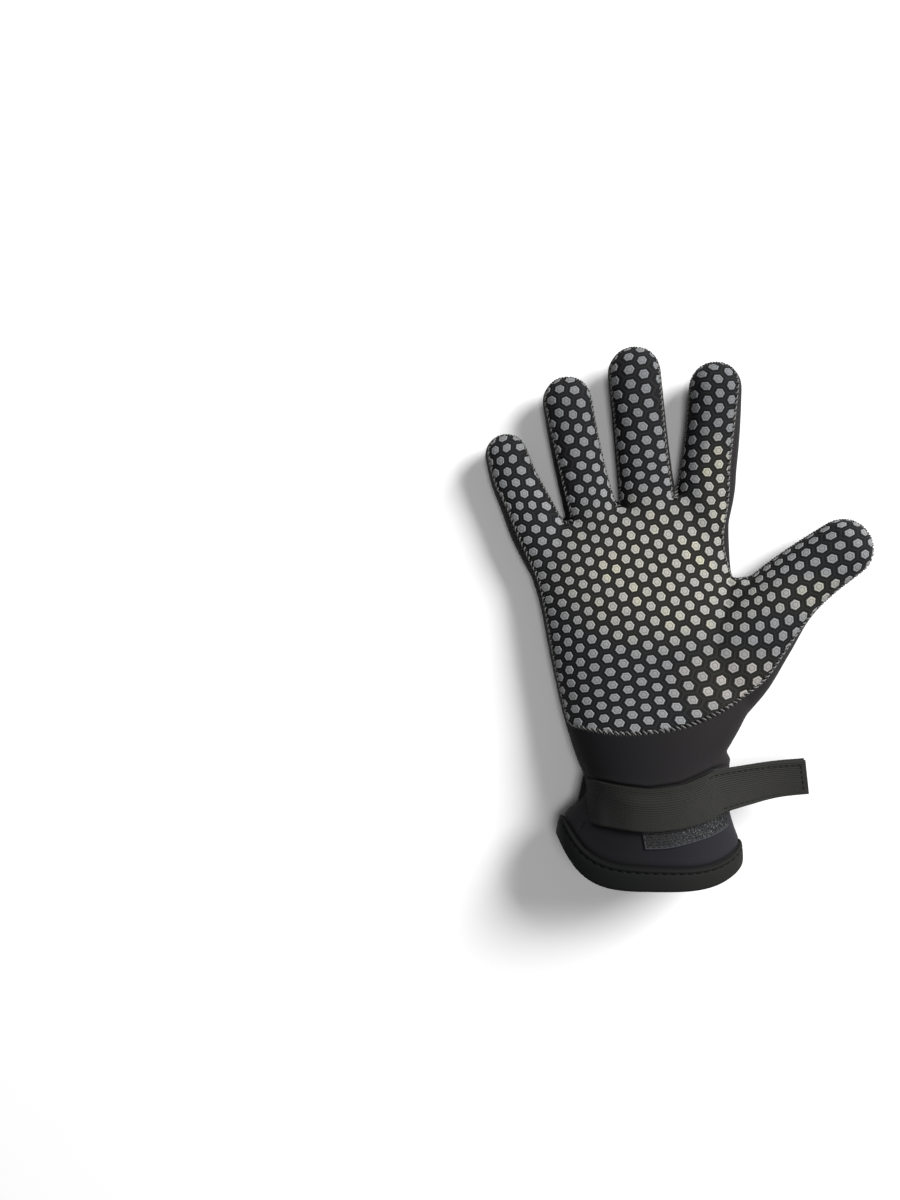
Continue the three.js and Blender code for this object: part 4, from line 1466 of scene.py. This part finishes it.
def hook_tape(name, low, high, selvage=False):
    finish = Finish(name, Specular_IOR_Level=0.3)
    x = finish.plan()[0]
    speckle = finish.noise(1.1, 3.0)
    clumps = finish.noise(6.0, 2.0)
    # painted highlights: pale flecks that stand for the light the hooks catch, on the tape's right part
    # only
    glints = finish.noise(0.6, 2.0).between(0.58, 0.68) * x.between(2.0, 14.0)
    tape = finish.mix(speckle.between(0.4, 0.7) * (0.3 + clumps), low, high)
    # painted shade: the tape darkens towards its left end
    tape = finish.mix((1 - x.between(-4.0, 12.0)) * 0.8, tape, (9, 9, 11))
    tape = finish.mix(glints * 0.5, tape, (140, 140, 138))
    if selvage:
        along, across = finish.laid("weave")
        edge = (1 - along.between(0.7, 1.1)).most(across.between(18.1, 18.5))
        tape = finish.mix(edge * 0.7, tape, (48, 49, 56))
    return finish.surface(tape, 0.65, speckle, 0.1)


def sewing_thread(name, low, high, shine=0.4):
    finish = Finish(name, Specular_IOR_Level=shine)
    twist = finish.noise(0.6, 2.0)
    thread = finish.mix(twist, low, high)
    return finish.surface(thread, 0.55, twist, 0.05)


def pale_floor():
    finish = Finish("pale_floor", Specular_IOR_Level=0.1)
    shade = 0.92 + 0.01 * finish.noise(60.0)
    return finish.surface(finish.node("CombineColor", {}, shade, shade, shade), 0.9)


def dress(piece, material, nodes=(), fill=None):
    """Gives a piece its finish, its place on the glove's one body, and the nodes that it stands for."""
    piece.data.materials.clear()
    piece.data.materials.append(material)
    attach(piece, "root")
    if nodes:
        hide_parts(*nodes)
    fill is not None


# The glove

rng = np.random.default_rng(11)
form = glove_form()
skin = Skin(form)
bpy.data.objects.remove(form)
skin.cut("mouth", 0, drop_below=True)
for level in SEAM_CUTS:
    skin.cut("seam", level)
for level in SLIT_CUTS:
    skin.cut("slit", level)
for level in CREASE_CUTS:
    skin.cut("strap", level)
    skin.cut("binding", level)
rows, faces = skin.arrays()
seam = column(rows, skin, "seam")
points = column(rows, skin, "x", "y", "z")
normals = unit(column(rows, skin, "nx", "ny", "nz"))
line = seam_line(skin)
cloth = PrintedCloth(rows, skin, faces)

slit, strap_gap, binding_gap = (column(rows, skin, name) for name in ("slit", "strap", "binding"))
held = 1 - smoothstep(points[:, 0], *HELD_UNTIL)
seams_dip = groove(seam) + SLIT_SHARE * groove(slit)
dip = seams_dip + held * pressed(strap_gap) + BINDING_PRESS * pressed(binding_gap)
# painted shadow: a dark line in the narrow gap along the strap's and the binding's upper edges
crease = np.maximum(held * edge_line(strap_gap), edge_line(binding_gap))

palm_faces = [f for f in faces if seam[list(f)].mean() > 0]
back_faces = [f for f in faces if seam[list(f)].mean() <= 0]
palm = shell("palm_panel", points, normals, groove(seam), palm_faces)
back = shell("back_panel", points, normals, dip, back_faces, crease=crease)
used = sorted({i for f in palm_faces for i in f})
lay_map(palm, "print", column(rows, skin, "a", "b")[used])
dots = cut_dots(*grip_dots(cloth))

strap_band = Band(STRAP, strap_lift, STRAP_FREE)
patch_band = Band(PATCH, lambda x, v: PATCH_LIFT)
strap = wrist_strap(strap_band)
tape = strap_loop_tape(strap_band)
patch = hook_patch(patch_band)
hooks = patch_hooks(patch_band, rng)
binding = cuff_binding()
tape_at = first_past(strap_band, TAPE_START)
strap_lines = [(tape_at - 0.05, 0.11, 0.985, 0.11), (tape_at, 0.9, 0.985, 0.9), (0.975, 0.11, 0.975, 0.9)]
strap_sewing = band_stitches(
    "strap_stitches", strap_band, strap_lines, height=STRAP_THICK, pitch=3.0, length=2.2, radius=0.19
)
patch_lines = [
    (0.02, 0.05, 0.98, 0.05), (0.02, 0.95, 0.98, 0.95),
    (0.025, 0.05, 0.025, 0.95), (0.975, 0.05, 0.975, 0.95),
]
patch_sewing = band_stitches(
    "patch_stitches", patch_band, patch_lines, height=PATCH_BASE, pitch=2.6, length=2.0, radius=0.17
)
binding_sewing = binding_stitches()
seam_sewing = seam_stitches(
    "seam_stitches", line, rng, start=0, back=1.75, front=1.45, slant=-0.5, radius=0.3
)
# painted highlights: pale stitches between the black ones stand for the light that the seam's thread
# catches
seam_glints = seam_stitches(
    "seam_glint_stitches", line, rng, start=0.5, back=0.55, front=1.0, slant=-1.2, radius=0.34
)

black_thread = sewing_thread("black_thread", (11, 11, 13), (24, 24, 27))
dress(palm, dotted_palm_cloth(), ["palm_panel"], fill=0.5)
dress(back, smooth_neoprene(), ["back_panel"], fill=0.5)
dress(dots, grip_rubber())
dress(seam_sewing, black_thread)
# painted highlights on the seam's thread
dress(seam_glints, sewing_thread("glint_thread", (70, 70, 69), (136, 135, 132)))
dress(binding, binding_tape(), ["cuff_binding"])
dress(binding_sewing, sewing_thread("binding_thread", (3, 3, 4), (7, 7, 8), shine=0.05))
dress(strap, ribbed_webbing(), ["wrist_strap"])
dress(strap_sewing, sewing_thread("strap_thread", (8, 8, 8), (30, 30, 28), shine=0.1))
dress(tape, loop_tape(), ["strap_loop_tape"])
hook_base = hook_tape("hook_base", (15, 16, 19), (30, 31, 35), selvage=True)
dress(patch, hook_base, ["hook_patch"])
dress(hooks, hook_tape("hooks", (22, 23, 26), (92, 94, 96)))
dress(patch_sewing, black_thread)

# The floor, the light and the camera, in metres

FLOOR_SIZE = 6
FLOOR_GAP = 0.0002  # between the glove and the floor
bpy.ops.object.select_all(action="DESELECT")
bpy.ops.mesh.primitive_plane_add(size=FLOOR_SIZE, location=(0, 0, -FLOOR_GAP))
floor = bpy.context.object
floor.name = "floor"
floor.data.materials.append(pale_floor())
floor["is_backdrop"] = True


def soft_light(name, at, size, power):
    """A square lamp that faces the glove's middle."""
    lamp = bpy.data.lights.new(name, "AREA")
    lamp.shape = "SQUARE"
    lamp.size = size
    lamp.energy = power
    obj = add_object(name, lamp)
    obj.location = at
    obj.rotation_euler = (-Vector(at)).to_track_quat("-Z", "Y").to_euler()


soft_light("key_light", at=(2.09, 1.58, 2.01), size=1.5, power=171)
soft_light("top_light", at=(-0.1, 0.0, 1.7), size=0.45, power=8.8)
world = bpy.data.worlds.new("studio")
world.use_nodes = True
world.node_tree.nodes["Background"].inputs["Color"].default_value = (1, 1, 1, 1)
world.node_tree.nodes["Background"].inputs["Strength"].default_value = 0.1
bpy.context.scene.world = world
bpy.context.scene.view_settings.view_transform = "Standard"

camera_data = bpy.data.cameras.new("camera")
camera_data.lens = 30
camera_data.sensor_width = 36
camera = add_object("camera", camera_data)
camera.location = (-0.095, 0.010, 0.500)
bpy.context.scene.camera = camera

sizes = {"cad": cad_box, "visual": [[float(v) for v in corner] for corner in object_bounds()]}
